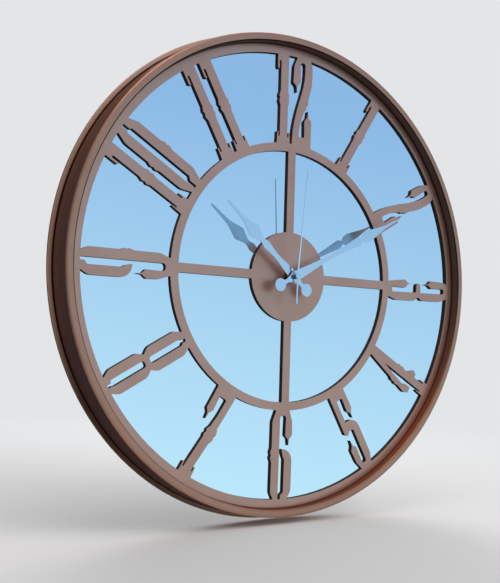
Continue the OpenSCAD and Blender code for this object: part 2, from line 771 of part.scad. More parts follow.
module rubber_gasket() color("#202020") hung() washer(case_front, gasket_t, gasket_r, bush_r + bush_gap);
module bush_washer() color(brass) hung() washer(dial_front, washer_t, nut_af / 2 + 1, bush_r + bush_gap);
module bush_nut() color(brass) hung() raised(dial_front + washer_t, nut_t) difference() {
    circle(r = nut_af / 2 / cos(30), $fn = 6);
    circle(r = bush_r + fit);
}

module train_plate() color("#d9d4c4") hung() {
    difference() {
        layer([plate_in, plate_out])
            plate_box([plate_gap - room_half, room_half - plate_gap],
                      [room_low + plate_gap, room_high - plate_gap]);
        layer([plate_in - 1, plate_out + 1]) {
            circle(r = arbor_r + 0.5);
            at(third_at) circle(r = tip_r(third_pinion_n, centre_m) + 0.3);
            at(fifth_at) circle(r = pivot_r + run_gap);
            at(rotor_at) circle(r = pivot_r + run_gap);
            at(knob_at) circle(r = knob_shaft_r + 0.4);
            plate_box([bobbin_ends[0] - coil_gap, bobbin_ends[1] + coil_gap],
                      [coil_y - bobbin_r - coil_gap, coil_y + bobbin_r + coil_gap]);
        }
    }
    for (x = pad_x) layer([plate_out, stator_layer[0]]) at([x, coil_y]) circle(r = 1);
    for (p = circuit_posts) layer([plate_out, board_layer[0]]) at(p) circle(r = 1);
}

// Movement: wheels

module wheel_bore(r) raised(0, dial_front + second_rise) circle(r = r);

module hour_wheel() color(white_plastic) hung() difference() {
    union() {
        layer(hour_layer) tooth_wheel(hour_n, hour_m, hour_turn);
        raised(case_front - hour_layer[1], hour_z + hand_t - case_front + hour_layer[1]) circle(r = pipe_r);
    }
    wheel_bore(tube_r + run_gap);
}

module motion_wheel() color(white_plastic) hung() difference() {
    union() {
        layer(motion_layer) at(motion_at) tooth_wheel(motion_n, cannon_m, motion_turn);
        layer([hour_layer[0] - 0.2, motion_layer[0]]) at(motion_at) tooth_wheel(motion_pinion_n, hour_m, 0);
    }
    layer([0, plate_in]) at(motion_at) circle(r = collar_r + run_gap);
}

stub_r = tube_r - 0.5;

module cannon_pinion() color(brass) hung() difference() {
    union() {
        layer(cannon_layer) tooth_wheel(cannon_n, cannon_m, 0);
        raised(case_front - cannon_layer[1], minute_z + nut_rise + nut_height - case_front + cannon_layer[1])
            circle(r = tube_r);
        layer([cannon_layer[1], plate_in - 0.2]) circle(r = stub_r);
    }
    wheel_bore(arbor_r + run_gap);
}

module centre_wheel() color(white_plastic) hung() difference() {
    layer(centre_layer) tooth_wheel(centre_n, centre_m, centre_turn);
    layer(centre_layer + [-1, 1]) circle(r = stub_r + run_gap);
}

module third_wheel() color(white_plastic) hung() at(third_at) {
    layer(third_layer) tooth_wheel(third_n, third_m, third_turn);
    layer([centre_layer[0] - 0.2, third_layer[0]]) tooth_wheel(third_pinion_n, centre_m, 0);
    layer([third_boss_end - pivot_in, pivot_end]) circle(r = pivot_r);
}

module second_wheel() color(white_plastic) hung() {
    layer(second_layer) tooth_wheel(second_n, second_m, 0);
    layer([plate_out + 0.3, second_layer[0]]) tooth_wheel(second_pinion_n, third_m, 0);
    raised(case_front - second_layer[1], second_z + second_t - case_front + second_layer[1])
        circle(r = arbor_r);
    layer([second_layer[1], pivot_end]) circle(r = pivot_r);
}

module fifth_wheel() color(white_plastic) hung() at(fifth_at) {
    layer(fifth_layer) tooth_wheel(fifth_n, rotor_m, 0);
    layer([second_layer[0] - 0.3, fifth_layer[0]]) tooth_wheel(fifth_pinion_n, second_m, fifth_turn);
    layer([plate_in + 0.1, pivot_end]) circle(r = pivot_r);
}

module rotor_pinion() color(white_plastic) hung() at(rotor_at) {
    layer(rotor_layer) tooth_wheel(rotor_n, rotor_m, rotor_turn);
    layer([magnet_layer[0], rotor_layer[0]]) circle(r = collar_r);
    layer([plate_in + 0.1, pivot_end]) circle(r = pivot_r);
}

module rotor_magnet() color("#55585c") hung() at(rotor_at) layer(magnet_layer) difference() {
    circle(r = magnet_r);
    circle(r = collar_r + fit);
}

// Movement: motor, circuit and cell

pad_half = 2.5;

// Ring round the magnet, with an arm to the pad under each end of the core
module stator() color(steel) hung() layer(stator_layer) difference() {
    union() {
        at(rotor_at) circle(r = stator_r);
        polygon([
            [core_ends[0], coil_y - pad_half], rotor_at + [1 - stator_r, -pad_half],
            rotor_at + [stator_r - 1, -pad_half], [core_ends[1], coil_y - pad_half],
            [core_ends[1], coil_y + pad_half], [bobbin_ends[1] + coil_gap, coil_y + pad_half],
            [bobbin_ends[1] + coil_gap, coil_y - bobbin_r - coil_gap], rotor_at + [0, stator_r - 0.6],
            [bobbin_ends[0] - coil_gap, coil_y - bobbin_r - coil_gap],
            [bobbin_ends[0] - coil_gap, coil_y + pad_half], [core_ends[0], coil_y + pad_half]
        ]);
    }
    at(rotor_at) circle(r = magnet_r + 0.5);
}

module coil_core() color("#8f9296") hung() layer(core_layer)
    plate_box(core_ends, [coil_y - core_h / 2, coil_y + core_h / 2]);

module coil_rod(ends, r) translate([ends[0], coil_y, case_front - coil_depth]) rotate([0, 90, 0])
    cylinder(r = r, h = ends[1] - ends[0]);

module core_hole() layer(core_layer + [-fit, fit])
    plate_box([core_ends[0] - 1, core_ends[1] + 1], [coil_y - core_h / 2 - fit, coil_y + core_h / 2 + fit]);

module coil_bobbin() color("#2f3338") hung() difference() {
    union() {
        coil_rod(bobbin_ends, bobbin_core_r);
        coil_rod([bobbin_ends[0], bobbin_ends[0] + flange_len], bobbin_r);
        coil_rod([bobbin_ends[1] - flange_len, bobbin_ends[1]], bobbin_r);
    }
    core_hole();
}

module coil_winding() color("#b5652f") hung() difference() {
    coil_rod([bobbin_ends[0] + flange_len, bobbin_ends[1] - flange_len], winding_r);
    coil_rod(bobbin_ends, bobbin_core_r + fit);
}

circuit_x = [0.8 - room_half, 9.3 - room_half];
circuit_y = [room_low + contact_t + 0.2, 6.5];
circuit_posts = [[circuit_x[0] + 2, room_low + post_inset], [circuit_x[0] + 6, 4]];
chip_r = 2.5;
chip_at = [circuit_x[0] + 5.4, -2.5];
crystal_r = 1;
crystal_at = [circuit_x[0] + 2, 2];
crystal_len = 6;

module circuit_board() color("#2c6b46") hung() layer(board_layer) plate_box(circuit_x, circuit_y);

module chip_cap() color("#181818") hung() translate([chip_at[0], chip_at[1], case_front - board_layer[1]])
    rotate([180, 0, 0]) rotate_extrude() polygon(rounded([[0, 0], [chip_r, 0], [chip_r, 1, 0.8], [0, 1.2]]));

module crystal() color("#c8c8cc") hung()
    translate([crystal_at[0], crystal_at[1], case_front - board_layer[1] - crystal_r - fit])
        rotate([90, 0, 0]) cylinder(r = crystal_r, h = crystal_len, center = true);

module cell_rod(ends, r) translate([ends[0], cell_y, case_front - cell_depth]) rotate([0, 90, 0])
    cylinder(r = r, h = ends[1] - ends[0]);

module battery() color("#b9bcc0") hung() {
    cell_rod([-cell_end, cell_end - cell_nub], cell_r);
    cell_rod([-cell_end, cell_end], nub_r);
}

module positive_contact() color(steel) hung() {
    layer(end_layer) plate_box([room_half - contact_t, room_half], [bay_low + 1.5, room_low + contact_t]);
    layer(strip_layer) plate_box([circuit_x[0] + 4, room_half], [room_low, room_low + contact_t]);
    cell_rod([cell_end, room_half - contact_t], nub_r - 0.4);
}

module negative_contact() color(steel) hung() {
    layer(end_layer) plate_box([-room_half, -room_half + contact_t], [bay_low + 1.5, room_low + 4]);
    cell_rod([-room_half + contact_t, -cell_end], nub_r);
}

module setting_knob() color("#202124") hung() at(knob_at) {
    layer(motion_layer + [-0.1, 0.1]) tooth_wheel(knob_n, cannon_m, knob_turn);
    layer([knob_boss_end - pivot_in, knob_boss_end + 0.2]) circle(r = knob_pivot_r);
    layer([knob_boss_end + 0.2, knob_layer[0]]) circle(r = knob_shaft_r);
    layer(knob_layer) difference() {
        circle(r = knob_r);
        for (i = [0 : grip_count - 1])
            rotate(i * 360 / grip_count) translate([knob_r + 0.3, 0]) circle(r = 0.8);
    }
}

// Hands

hour_collar_h = 2.2;
minute_collar_h = 1.2;
collar_wall = 1.3;
nut_rise = 0.6;
nut_height = 1.4;
second_t = 0.4;
cap_h = 1;
second_tube_h = 1.2;
// Run of the second hand's flat root under its bent blade
bend_lap = 0.5;

// Flat hub and counterweight of a hand
module hand_tail() {
    circle(r = hub_r);
    at([0, -lobe_at]) circle(r = lobe_r);
    side = [
        [4.6, -hub_r / 2], [2.1, -hub_r - 5, 5], [2.1, -lobe_at + lobe_r, 4], [4.6, -lobe_at + lobe_r / 2]
    ];
    polygon(rounded(concat(side, mirrored(side))));
}

function hour_side() = [
    [4.8, 2], [4.7, 7], [2.3, 31, 60], [4.4, 46.5, 1], [2.1, 53.5, 8], [7.6, 66, 4],
    [2.2, 82, 30], [1.2, hour_len - 6], [0.9, hour_len]
];
function minute_side() = [
    [5, 2], [5, 6], [2.2, 42, 60], [2.2, 60, 90], [4.7, 91.5, 0.6], [2, 96.5, 1.8], [5.2, 101, 2.5],
    [6.1, 107, 5], [1.2, 134, 60], [0.6, minute_len]
];

module leaf_hand(side, z, set, hole_r, collar_h) translate([0, 0, z]) difference() {
    union() {
        linear_extrude(hand_t, center = true) hand_tail();
        rotate([set, 0, 0])
            linear_extrude(hand_t, center = true) polygon(rounded(concat(side, mirrored(side))));
        translate([0, 0, -collar_h]) cylinder(r = hole_r + collar_wall, h = collar_h);
    }
    translate([0, 0, -collar_h - 1]) cylinder(r = hole_r, h = collar_h + hand_t + 2);
}

module hour_hand() color(silver) hung() rotate(-hour_angle)
    leaf_hand(hour_side(), hour_z, hour_set, pipe_r + fit, hour_collar_h);

module minute_hand() color(silver) hung() rotate(-minute_angle)
    leaf_hand(minute_side(), minute_z, minute_set, tube_r + fit, minute_collar_h);

module minute_nut() color(silver) hung() washer(minute_z + nut_rise, nut_height, cap_r, tube_r + fit);

module second_hand() color(silver) hung() rotate(-second_angle) translate([0, 0, second_z]) difference() {
    union() {
        linear_extrude(second_t) {
            circle(r = cap_r);
            plate_box([-second_w / 2, second_w / 2], [-second_tail, cap_r + bend_lap]);
        }
        translate([0, cap_r, 0]) rotate([second_set, 0, 0]) linear_extrude(second_t)
            polygon([
                [-second_w / 2, 0], [second_w / 2, 0],
                [second_w / 4, second_len - cap_r], [-second_w / 4, second_len - cap_r]
            ]);
    }
    translate([0, 0, -1]) cylinder(r = arbor_r + fit, h = 2);
}

module second_tube() color(silver) hung()
    washer(second_z - second_tube_h, second_tube_h, cap_r, arbor_r + fit);

module second_cap() color(silver) hung() translate([0, 0, second_z + second_t])
    rotate_extrude() polygon(rounded([[0, 0], [cap_r, 0], [cap_r, cap_h, 0.4], [0, cap_h]]));

frame_ring();
dial_plate();
mirror_glass();
back_board();
retaining_points();
hanger_plate();
hanger_rivets();
movement_case();
movement_cover();
threaded_bush();
rubber_gasket();
bush_washer();
bush_nut();
train_plate();
hour_wheel();
motion_wheel();
cannon_pinion();
centre_wheel();
third_wheel();
second_wheel();
fifth_wheel();
rotor_pinion();
rotor_magnet();
stator();
coil_core();
coil_bobbin();
coil_winding();
circuit_board();
chip_cap();
crystal();
battery();
positive_contact();
negative_contact();
setting_knob();
hour_hand();
minute_hand();
minute_nut();
second_hand();
second_tube();
second_cap();
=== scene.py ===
import math

import bmesh
import bpy
from mathutils import Matrix, Vector


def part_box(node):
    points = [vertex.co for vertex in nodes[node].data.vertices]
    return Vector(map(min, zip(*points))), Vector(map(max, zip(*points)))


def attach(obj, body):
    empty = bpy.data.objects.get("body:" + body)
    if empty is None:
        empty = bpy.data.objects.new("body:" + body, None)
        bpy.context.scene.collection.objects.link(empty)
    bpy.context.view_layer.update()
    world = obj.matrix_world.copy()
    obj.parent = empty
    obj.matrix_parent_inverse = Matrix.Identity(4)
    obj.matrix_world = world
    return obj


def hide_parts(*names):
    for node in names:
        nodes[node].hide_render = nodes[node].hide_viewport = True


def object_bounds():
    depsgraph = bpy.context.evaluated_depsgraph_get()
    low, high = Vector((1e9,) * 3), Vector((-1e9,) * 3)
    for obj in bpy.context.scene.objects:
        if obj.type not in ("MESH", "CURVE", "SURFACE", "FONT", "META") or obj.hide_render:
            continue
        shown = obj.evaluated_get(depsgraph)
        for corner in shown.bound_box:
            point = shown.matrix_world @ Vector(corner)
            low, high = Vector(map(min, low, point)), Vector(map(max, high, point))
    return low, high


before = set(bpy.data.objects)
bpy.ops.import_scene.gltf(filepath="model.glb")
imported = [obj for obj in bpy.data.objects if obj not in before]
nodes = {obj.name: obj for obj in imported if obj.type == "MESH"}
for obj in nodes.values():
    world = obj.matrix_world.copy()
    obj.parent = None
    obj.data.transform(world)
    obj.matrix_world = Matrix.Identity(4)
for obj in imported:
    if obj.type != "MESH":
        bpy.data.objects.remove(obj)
cadBox = [list(corner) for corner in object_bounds()]
mm = 0.001
print("frame loaded:", len(nodes), "nodes")


def linear(hexColour):
    channels = [int(hexColour[i:i + 2], 16) / 255 for i in (1, 3, 5)]
    return tuple(c / 12.92 if c <= 0.04045 else ((c + 0.055) / 1.055) ** 2.4 for c in channels) + (1.0,)


def perMetre(sizeMm):  # texture scale that repeats once every sizeMm on Object coordinates
    return 1000 / sizeMm


def waveScale(pitchMm):  # the wave texture has a built-in period of pi / 10
    return perMetre(pitchMm) * math.pi / 10


def setInputs(node, inputs):
    for socket, value in inputs.items():
        if isinstance(value, bpy.types.Node):
            value = next(out for out in value.outputs if out.enabled)
        if isinstance(value, bpy.types.NodeSocket):
            node.id_data.links.new(value, node.inputs[socket])
        else:
            node.inputs[socket].default_value = value


def addNode(tree, kind, inputs=None, stops=(), **settings):
    node = tree.nodes.new(kind)
    for name, value in settings.items():
        setattr(node, name, value)
    setInputs(node, inputs or {})
    if stops:
        points = node.color_ramp.elements
        points.remove(points[1])
        points[0].position = stops[0][0]
        points[0].color = linear(stops[0][1])
        for position, colour in stops[1:]:
            points.new(position).color = linear(colour)
    return node


# Camera at the photograph's angle: left of the clock and a little below its centre

cameraLook = {
    "place": (-0.5222, -0.7493, -0.0794),
    "aim": (-0.0456, -0.025, -0.0645),
    "rollDeg": 1.62,
    "lensMm": 53.6,
    "sensorMm": 36,
    "shiftUp": 0.08,
}


def addCamera(look):
    data = bpy.data.cameras.new("camera")
    data.sensor_fit = "VERTICAL"
    data.sensor_height = look["sensorMm"]
    data.lens = look["lensMm"]
    data.shift_y = look["shiftUp"]
    camera = bpy.data.objects.new("camera", data)
    place = Vector(look["place"])
    level = (Vector(look["aim"]) - place).to_track_quat("-Z", "Y").to_matrix().to_4x4()
    roll = Matrix.Rotation(math.radians(look["rollDeg"]), 4, "Z")
    camera.matrix_world = Matrix.Translation(place) @ level @ roll
    bpy.context.scene.collection.objects.link(camera)
    bpy.context.scene.camera = camera


addCamera(cameraLook)
print("camera placed")


# Pale studio: a soft white panel at the front right over a dim fill. Shiny surfaces see that panel as sky,
# and past its edges grey and pale tones at the first reflection, a dark shade at later ones.

studio = {
    "background": "#E3E5E7",
    "panel": "#FFFFFF",
    "softLight": 0.9,
    "fill": "#474C57",
    "skyStops": ((0.0, "#BDE8FC"), (0.2, "#AAD5F1"), (0.45, "#8CB9E4"), (1.0, "#86ACD6")),
    "skyFrom": -0.1,
    "skyTo": 0.9,
    "skyLean": 0.15,
    "skyStrength": 1.06,
    "shade": "#414E5B",
    "aside": "#7E8C97",
    "firstBounce": 1.5,
    "behindShade": "#434C66",
    "behind": "#8E9093",
    "skyEdge": (0.25, -0.1),
    "leftEdge": (-0.42, 0.08),
    "leftLean": -0.17,
    "footEdge": (-0.33, -0.17),
    "floorEdge": (-0.35, -0.75),
    "floorShown": "#C4C6C8",
    "floorDropMm": 2,
    "floorMetres": 16,
    "floorFade": (0.45, 1.5),
}


def addStudio(look):
    world = bpy.data.worlds.new("studio")
    bpy.context.scene.world = world
    world.use_nodes = True
    world.cycles.sampling_method = "NONE"
    tree = world.node_tree
    tree.nodes.clear()
    way = addNode(tree, "ShaderNodeTexCoord").outputs["Generated"]
    parts = addNode(tree, "ShaderNodeSeparateXYZ", {"Vector": way}).outputs
    height = addNode(tree, "ShaderNodeMath",
                     {0: parts["X"], 1: look["skyLean"], 2: parts["Z"]}, operation="MULTIPLY_ADD")
    climb = addNode(tree, "ShaderNodeMapRange",
                    {"Value": height, "From Min": look["skyFrom"], "From Max": look["skyTo"]})
    sky = addNode(tree, "ShaderNodeValToRGB", {"Fac": climb}, stops=look["skyStops"])
    front = addNode(tree, "ShaderNodeMapRange",
                    {"Value": parts["Y"], "From Min": look["skyEdge"][0], "From Max": look["skyEdge"][1]})
    aside = addNode(tree, "ShaderNodeMath",
                    {0: parts["Y"], 1: look["leftLean"], 2: parts["X"]}, operation="MULTIPLY_ADD")
    right = addNode(tree, "ShaderNodeMapRange",
                    {"Value": aside, "From Min": look["leftEdge"][0], "From Max": look["leftEdge"][1]})
    inside = addNode(tree, "ShaderNodeMapRange",
                     {"Value": parts["Z"], "From Min": look["footEdge"][0], "From Max": look["footEdge"][1],
                      "To Max": right})
    clear = addNode(tree, "ShaderNodeMix",
                    {"Factor": front, 6: linear(look["behind"]), 7: sky}, data_type="RGBA")
    under = addNode(tree, "ShaderNodeMapRange",
                    {"Value": parts["Z"], "From Min": look["floorEdge"][0],
                     "From Max": look["floorEdge"][1]})
    ray = addNode(tree, "ShaderNodeLightPath")
    first = addNode(tree, "ShaderNodeMath",
                    {0: ray.outputs["Glossy Depth"], 1: look["firstBounce"]}, operation="LESS_THAN")
    pale = addNode(tree, "ShaderNodeMix",
                   {"Factor": under, 6: linear(look["aside"]), 7: linear(look["floorShown"])},
                   data_type="RGBA")
    low = addNode(tree, "ShaderNodeMix",
                  {"Factor": first, 6: linear(look["shade"]), 7: pale}, data_type="RGBA")
    dim = addNode(tree, "ShaderNodeMix",
                  {"Factor": front, 6: linear(look["behindShade"]), 7: low}, data_type="RGBA")
    around = addNode(tree, "ShaderNodeMix", {"Factor": inside, 6: dim, 7: clear}, data_type="RGBA")
    shine = addNode(tree, "ShaderNodeBackground", {"Color": around, "Strength": look["skyStrength"]})
    panel = addNode(tree, "ShaderNodeMix",
                    {"Factor": inside, 6: linear(look["fill"]), 7: linear(look["panel"])}, data_type="RGBA")
    light = addNode(tree, "ShaderNodeBackground", {"Color": panel, "Strength": look["softLight"]})
    seen = addNode(tree, "ShaderNodeBackground", {"Color": linear(look["background"])})
    lit = addNode(tree, "ShaderNodeMixShader", {0: ray.outputs["Is Glossy Ray"], 1: light, 2: shine})
    shown = addNode(tree, "ShaderNodeMixShader", {0: ray.outputs["Is Camera Ray"], 1: lit, 2: seen})
    addNode(tree, "ShaderNodeOutputWorld", {"Surface": shown})


def addFloor(look):
    half = look["floorMetres"] / 2
    low = cadBox[0][2] - look["floorDropMm"] * mm
    mesh = bpy.data.meshes.new("floor")
    corners = [(-half, -half, low), (half, -half, low), (half, half, low), (-half, half, low)]
    mesh.from_pydata(corners, [], [(0, 1, 2, 3)])
    floor = bpy.data.objects.new("floor", mesh)
    bpy.context.scene.collection.objects.link(floor)
    material = bpy.data.materials.new("pale_floor")
    material.use_nodes = True
    tree = material.node_tree
    tree.nodes.clear()
    place = addNode(tree, "ShaderNodeTexCoord").outputs["Object"]
    away = addNode(tree, "ShaderNodeVectorMath", {0: place}, operation="LENGTH").outputs["Value"]
    seen = addNode(tree, "ShaderNodeLightPath").outputs["Is Camera Ray"]
    fade = addNode(tree, "ShaderNodeMapRange",
                   {"Value": away, "From Min": look["floorFade"][0], "From Max": look["floorFade"][1],
                    "To Max": seen}, interpolation_type="SMOOTHSTEP")
    paint = addNode(tree, "ShaderNodeBsdfDiffuse", {"Color": linear(look["background"])})
    plain = addNode(tree, "ShaderNodeEmission", {"Color": linear(look["background"])})
    surface = addNode(tree, "ShaderNodeMixShader", {0: fade, 1: paint, 2: plain})
    addNode(tree, "ShaderNodeOutputMaterial", {"Surface": surface})
    mesh.materials.append(material)
    floor.visible_glossy = False
    floor.visible_diffuse = False


lamps = {
    "softbox": {"place": (-0.35, -0.4, 1.3), "size": 0.8, "watts": 3.9, "colour": "#FFE6D0", "shines": True},
    "key": {"place": (1.2, -1.7, 1.5), "size": 1.4, "watts": 14, "colour": "#FFFAF2", "shines": False},
    "backFill": {"place": (0.9, 1.6, 1.1), "size": 1.2, "watts": 18, "colour": "#FFFFFF", "shines": True},
}


def addLamps(look):
    for name, values in look.items():
        data = bpy.data.lights.new(name, "AREA")
        data.size = values["size"]
        data.energy = values["watts"]
        data.color = linear(values["colour"])[:3]
        lamp = bpy.data.objects.new(name, data)
        place = Vector(values["place"])
        aimed = (-place).to_track_quat("-Z", "Y").to_matrix().to_4x4()
        lamp.matrix_world = Matrix.Translation(place) @ aimed
        lamp.visible_glossy = values["shines"]
        bpy.context.scene.collection.objects.link(lamp)


addStudio(studio)
addFloor(studio)
addLamps(lamps)
print("studio lit")


# Finishes of the front

def newFinish(name):
    material = bpy.data.materials.new(name)
    material.use_nodes = True
    tree = material.node_tree
    tree.nodes.clear()
    place = addNode(tree, "ShaderNodeTexCoord").outputs["Object"]
    surface = addNode(tree, "ShaderNodeBsdfPrincipled")
    addNode(tree, "ShaderNodeOutputMaterial", {"Surface": surface})
    return material, tree, place, surface


copperFrame = {
    # the paler colour on rounded edges stands partly for wear, partly for a painted highlight
    "colour": "#CE967D", "shade": "#C78F75", "wearAndSheen": "#DDA084", "edge": "#84706C",
    "flakeMm": 0.7, "cloudMm": 60, "metal": 0.75, "rough": (0.36, 0.44), "wear": (0.08, 0.22),
    # flange: painted light at its top, painted shade towards its foot, a painted highlight on its rounded
    # edge
    "flangeLitTop": "#F8BE9C", "flangeShadedFoot": "#8A5F4C", "flangeEdgeHighlight": "#F29A68",
    "flangeMm": (246, 247), "flangeShadeFadeMm": (-130, -50),
    # the lip's two tones are painted light where it faces up and painted shade where it faces down
    "deep": "#B87458", "lipPaintedShade": "#937C72", "lipMm": (237.9, 237.2),
    # painted shade in the flange's corner, at the lip's foot and along the lip's front edge
    "paintedShade": "#1C1210", "paintedShadeCore": 0.35,
    "paintedShadeAtMm": ((245, 3, 1.7, 0), (237, 25, 1.6, 0.5), (237.4, 34.6, 1.15, 1)),
    # a painted highlight on the lip's front edge where it faces up
    "litFacingUp": "#CC8660", "highlightMm": (3.6, 0.3), "facingUpSlope": 0.6,
}


def satinCopperLacquer(look):
    # metallic copper lacquer on a moulded ring: satin sheen with fine flake, rounded edges paler, partly
    # from wear and partly a painted highlight; the flange is warm, painted lit at its top and darkened
    # towards its foot as painted shade, with a painted highlight on its edge; the lip is deeper, painted lit
    # where it faces up and painted shade where it faces down; dark painted shade sits in the corners and
    # along the lip's front edge, and gives way to a painted highlight where that edge faces up
    material, tree, place, surface = newFinish("satin_copper_lacquer")
    cloud = addNode(tree, "ShaderNodeTexNoise",
                    {"Vector": place, "Scale": perMetre(look["cloudMm"]), "Detail": 3.0})
    flake = addNode(tree, "ShaderNodeTexNoise",
                    {"Vector": place, "Scale": perMetre(look["flakeMm"]), "Detail": 2.0})
    lacquer = addNode(tree, "ShaderNodeValToRGB",
                      {"Fac": cloud}, ((0.35, look["shade"]), (0.65, look["colour"])))
    normal = addNode(tree, "ShaderNodeNewGeometry").outputs["Normal"]
    facing = addNode(tree, "ShaderNodeSeparateXYZ", {"Vector": normal})
    upward = addNode(tree, "ShaderNodeMapRange",
                     {"Value": facing.outputs["Z"], "From Max": look["facingUpSlope"]})
    # rounded edges are made paler: partly edge wear, partly a painted highlight
    flat = addNode(tree, "ShaderNodeMath", {0: facing.outputs["Y"]}, operation="ABSOLUTE")
    rounding = addNode(tree, "ShaderNodeMath", {0: flat, 1: 0.5}, operation="PINGPONG")
    wearAndSheen = addNode(tree, "ShaderNodeMath", {0: rounding, 1: cloud}, operation="MULTIPLY")
    wear = addNode(tree, "ShaderNodeMapRange",
                   {"Value": wearAndSheen, "From Min": look["wear"][0], "From Max": look["wear"][1]})
    across = addNode(tree, "ShaderNodeVectorMath", {0: place, 1: (1, 0, 1)}, operation="MULTIPLY")
    radius = addNode(tree, "ShaderNodeVectorMath", {0: across}, operation="LENGTH").outputs["Value"]
    rim = addNode(tree, "ShaderNodeMapRange",
                  {"Value": radius, "From Min": look["flangeMm"][0] * mm,
                   "From Max": look["flangeMm"][1] * mm})
    worn = addNode(tree, "ShaderNodeMix",
                   {"Factor": wear, 6: lacquer, 7: linear(look["wearAndSheen"])}, data_type="RGBA")
    spot = addNode(tree, "ShaderNodeSeparateXYZ", {"Vector": place})
    # the flange is painted lit at its top and painted shade towards its foot, with a painted highlight on
    # its edge
    climb = addNode(tree, "ShaderNodeMapRange",
                    {"Value": spot.outputs["Z"], "From Min": look["flangeShadeFadeMm"][0] * mm,
                     "From Max": look["flangeShadeFadeMm"][1] * mm})
    top = addNode(tree, "ShaderNodeMix",
                  {"Factor": flat, 6: linear(look["flangeEdgeHighlight"]), 7: linear(look["flangeLitTop"])},
                  data_type="RGBA")
    flange = addNode(tree, "ShaderNodeMix",
                     {"Factor": climb, 6: linear(look["flangeShadedFoot"]), 7: top}, data_type="RGBA")
    clean = addNode(tree, "ShaderNodeMix", {"Factor": rim, 6: worn, 7: flange}, data_type="RGBA")
    within = addNode(tree, "ShaderNodeMapRange",
                     {"Value": radius, "From Min": look["lipMm"][0] * mm, "From Max": look["lipMm"][1] * mm})
    # the lip's inner wall: painted light where it faces up, painted shade where it faces down
    lip = addNode(tree, "ShaderNodeMix",
                  {"Factor": upward, 6: linear(look["lipPaintedShade"]), 7: linear(look["deep"])}, data_type="RGBA")
    colour = addNode(tree, "ShaderNodeMix", {"Factor": within, 6: clean, 7: lip}, data_type="RGBA")
    section = addNode(tree, "ShaderNodeCombineXYZ", {"X": radius, "Y": spot.outputs["Y"]})
    # painted shade darkens the flange's corner, the lip's foot and the lip's front edge, less where they
    # face up
    for outMm, deepMm, reachMm, litFacingUp in look["paintedShadeAtMm"]:  # the last place is the lip's front edge
        kept = addNode(tree, "ShaderNodeMath", {0: upward, 1: -litFacingUp, 2: 1.0}, operation="MULTIPLY_ADD")
        away = addNode(tree, "ShaderNodeVectorMath", {0: section, 1: (outMm * mm, -deepMm * mm, 0)},
                       operation="DISTANCE").outputs["Value"]
        left = addNode(tree, "ShaderNodeMapRange",
                       {"Value": away, "From Min": reachMm * mm,
                        "From Max": look["paintedShadeCore"] * reachMm * mm, "To Max": kept})
        colour = addNode(tree, "ShaderNodeMix",
                         {"Factor": left, 6: colour, 7: linear(look["paintedShade"])}, data_type="RGBA")
    # a painted highlight replaces the painted shade on the lip's front edge where it faces up
    wipe = addNode(tree, "ShaderNodeMapRange",
                   {"Value": away, "From Min": look["highlightMm"][0] * mm, "From Max": look["highlightMm"][1] * mm,
                    "To Max": upward})
    colour = addNode(tree, "ShaderNodeMix",
                     {"Factor": wipe, 6: colour, 7: linear(look["litFacingUp"])}, data_type="RGBA")
    rough = addNode(tree, "ShaderNodeMapRange",
                    {"Value": flake, "From Min": 0.3, "From Max": 0.7,
                     "To Min": look["rough"][0], "To Max": look["rough"][1]})
    bump = addNode(tree, "ShaderNodeBump", {"Height": flake, "Strength": 0.04, "Distance": 0.04 * mm})
    setInputs(surface, {"Base Color": colour, "Metallic": look["metal"], "Roughness": rough,
                        "Specular Tint": linear(look["edge"]), "Normal": bump})
    return material


copperDial = {
    "colour": "#DCA690", "shade": "#D69E87", "flakeMm": 0.6, "cloudMm": 40, "metal": 0.75, "rough": 0.36,
    "burnt": "#5A4136", "char": "#2A1C16", "cutRough": 0.8, "cutSlope": (0.5, 0.8),
    "seamShade": "#160D0A", "seamShadeMm": (235.9, 237),
}


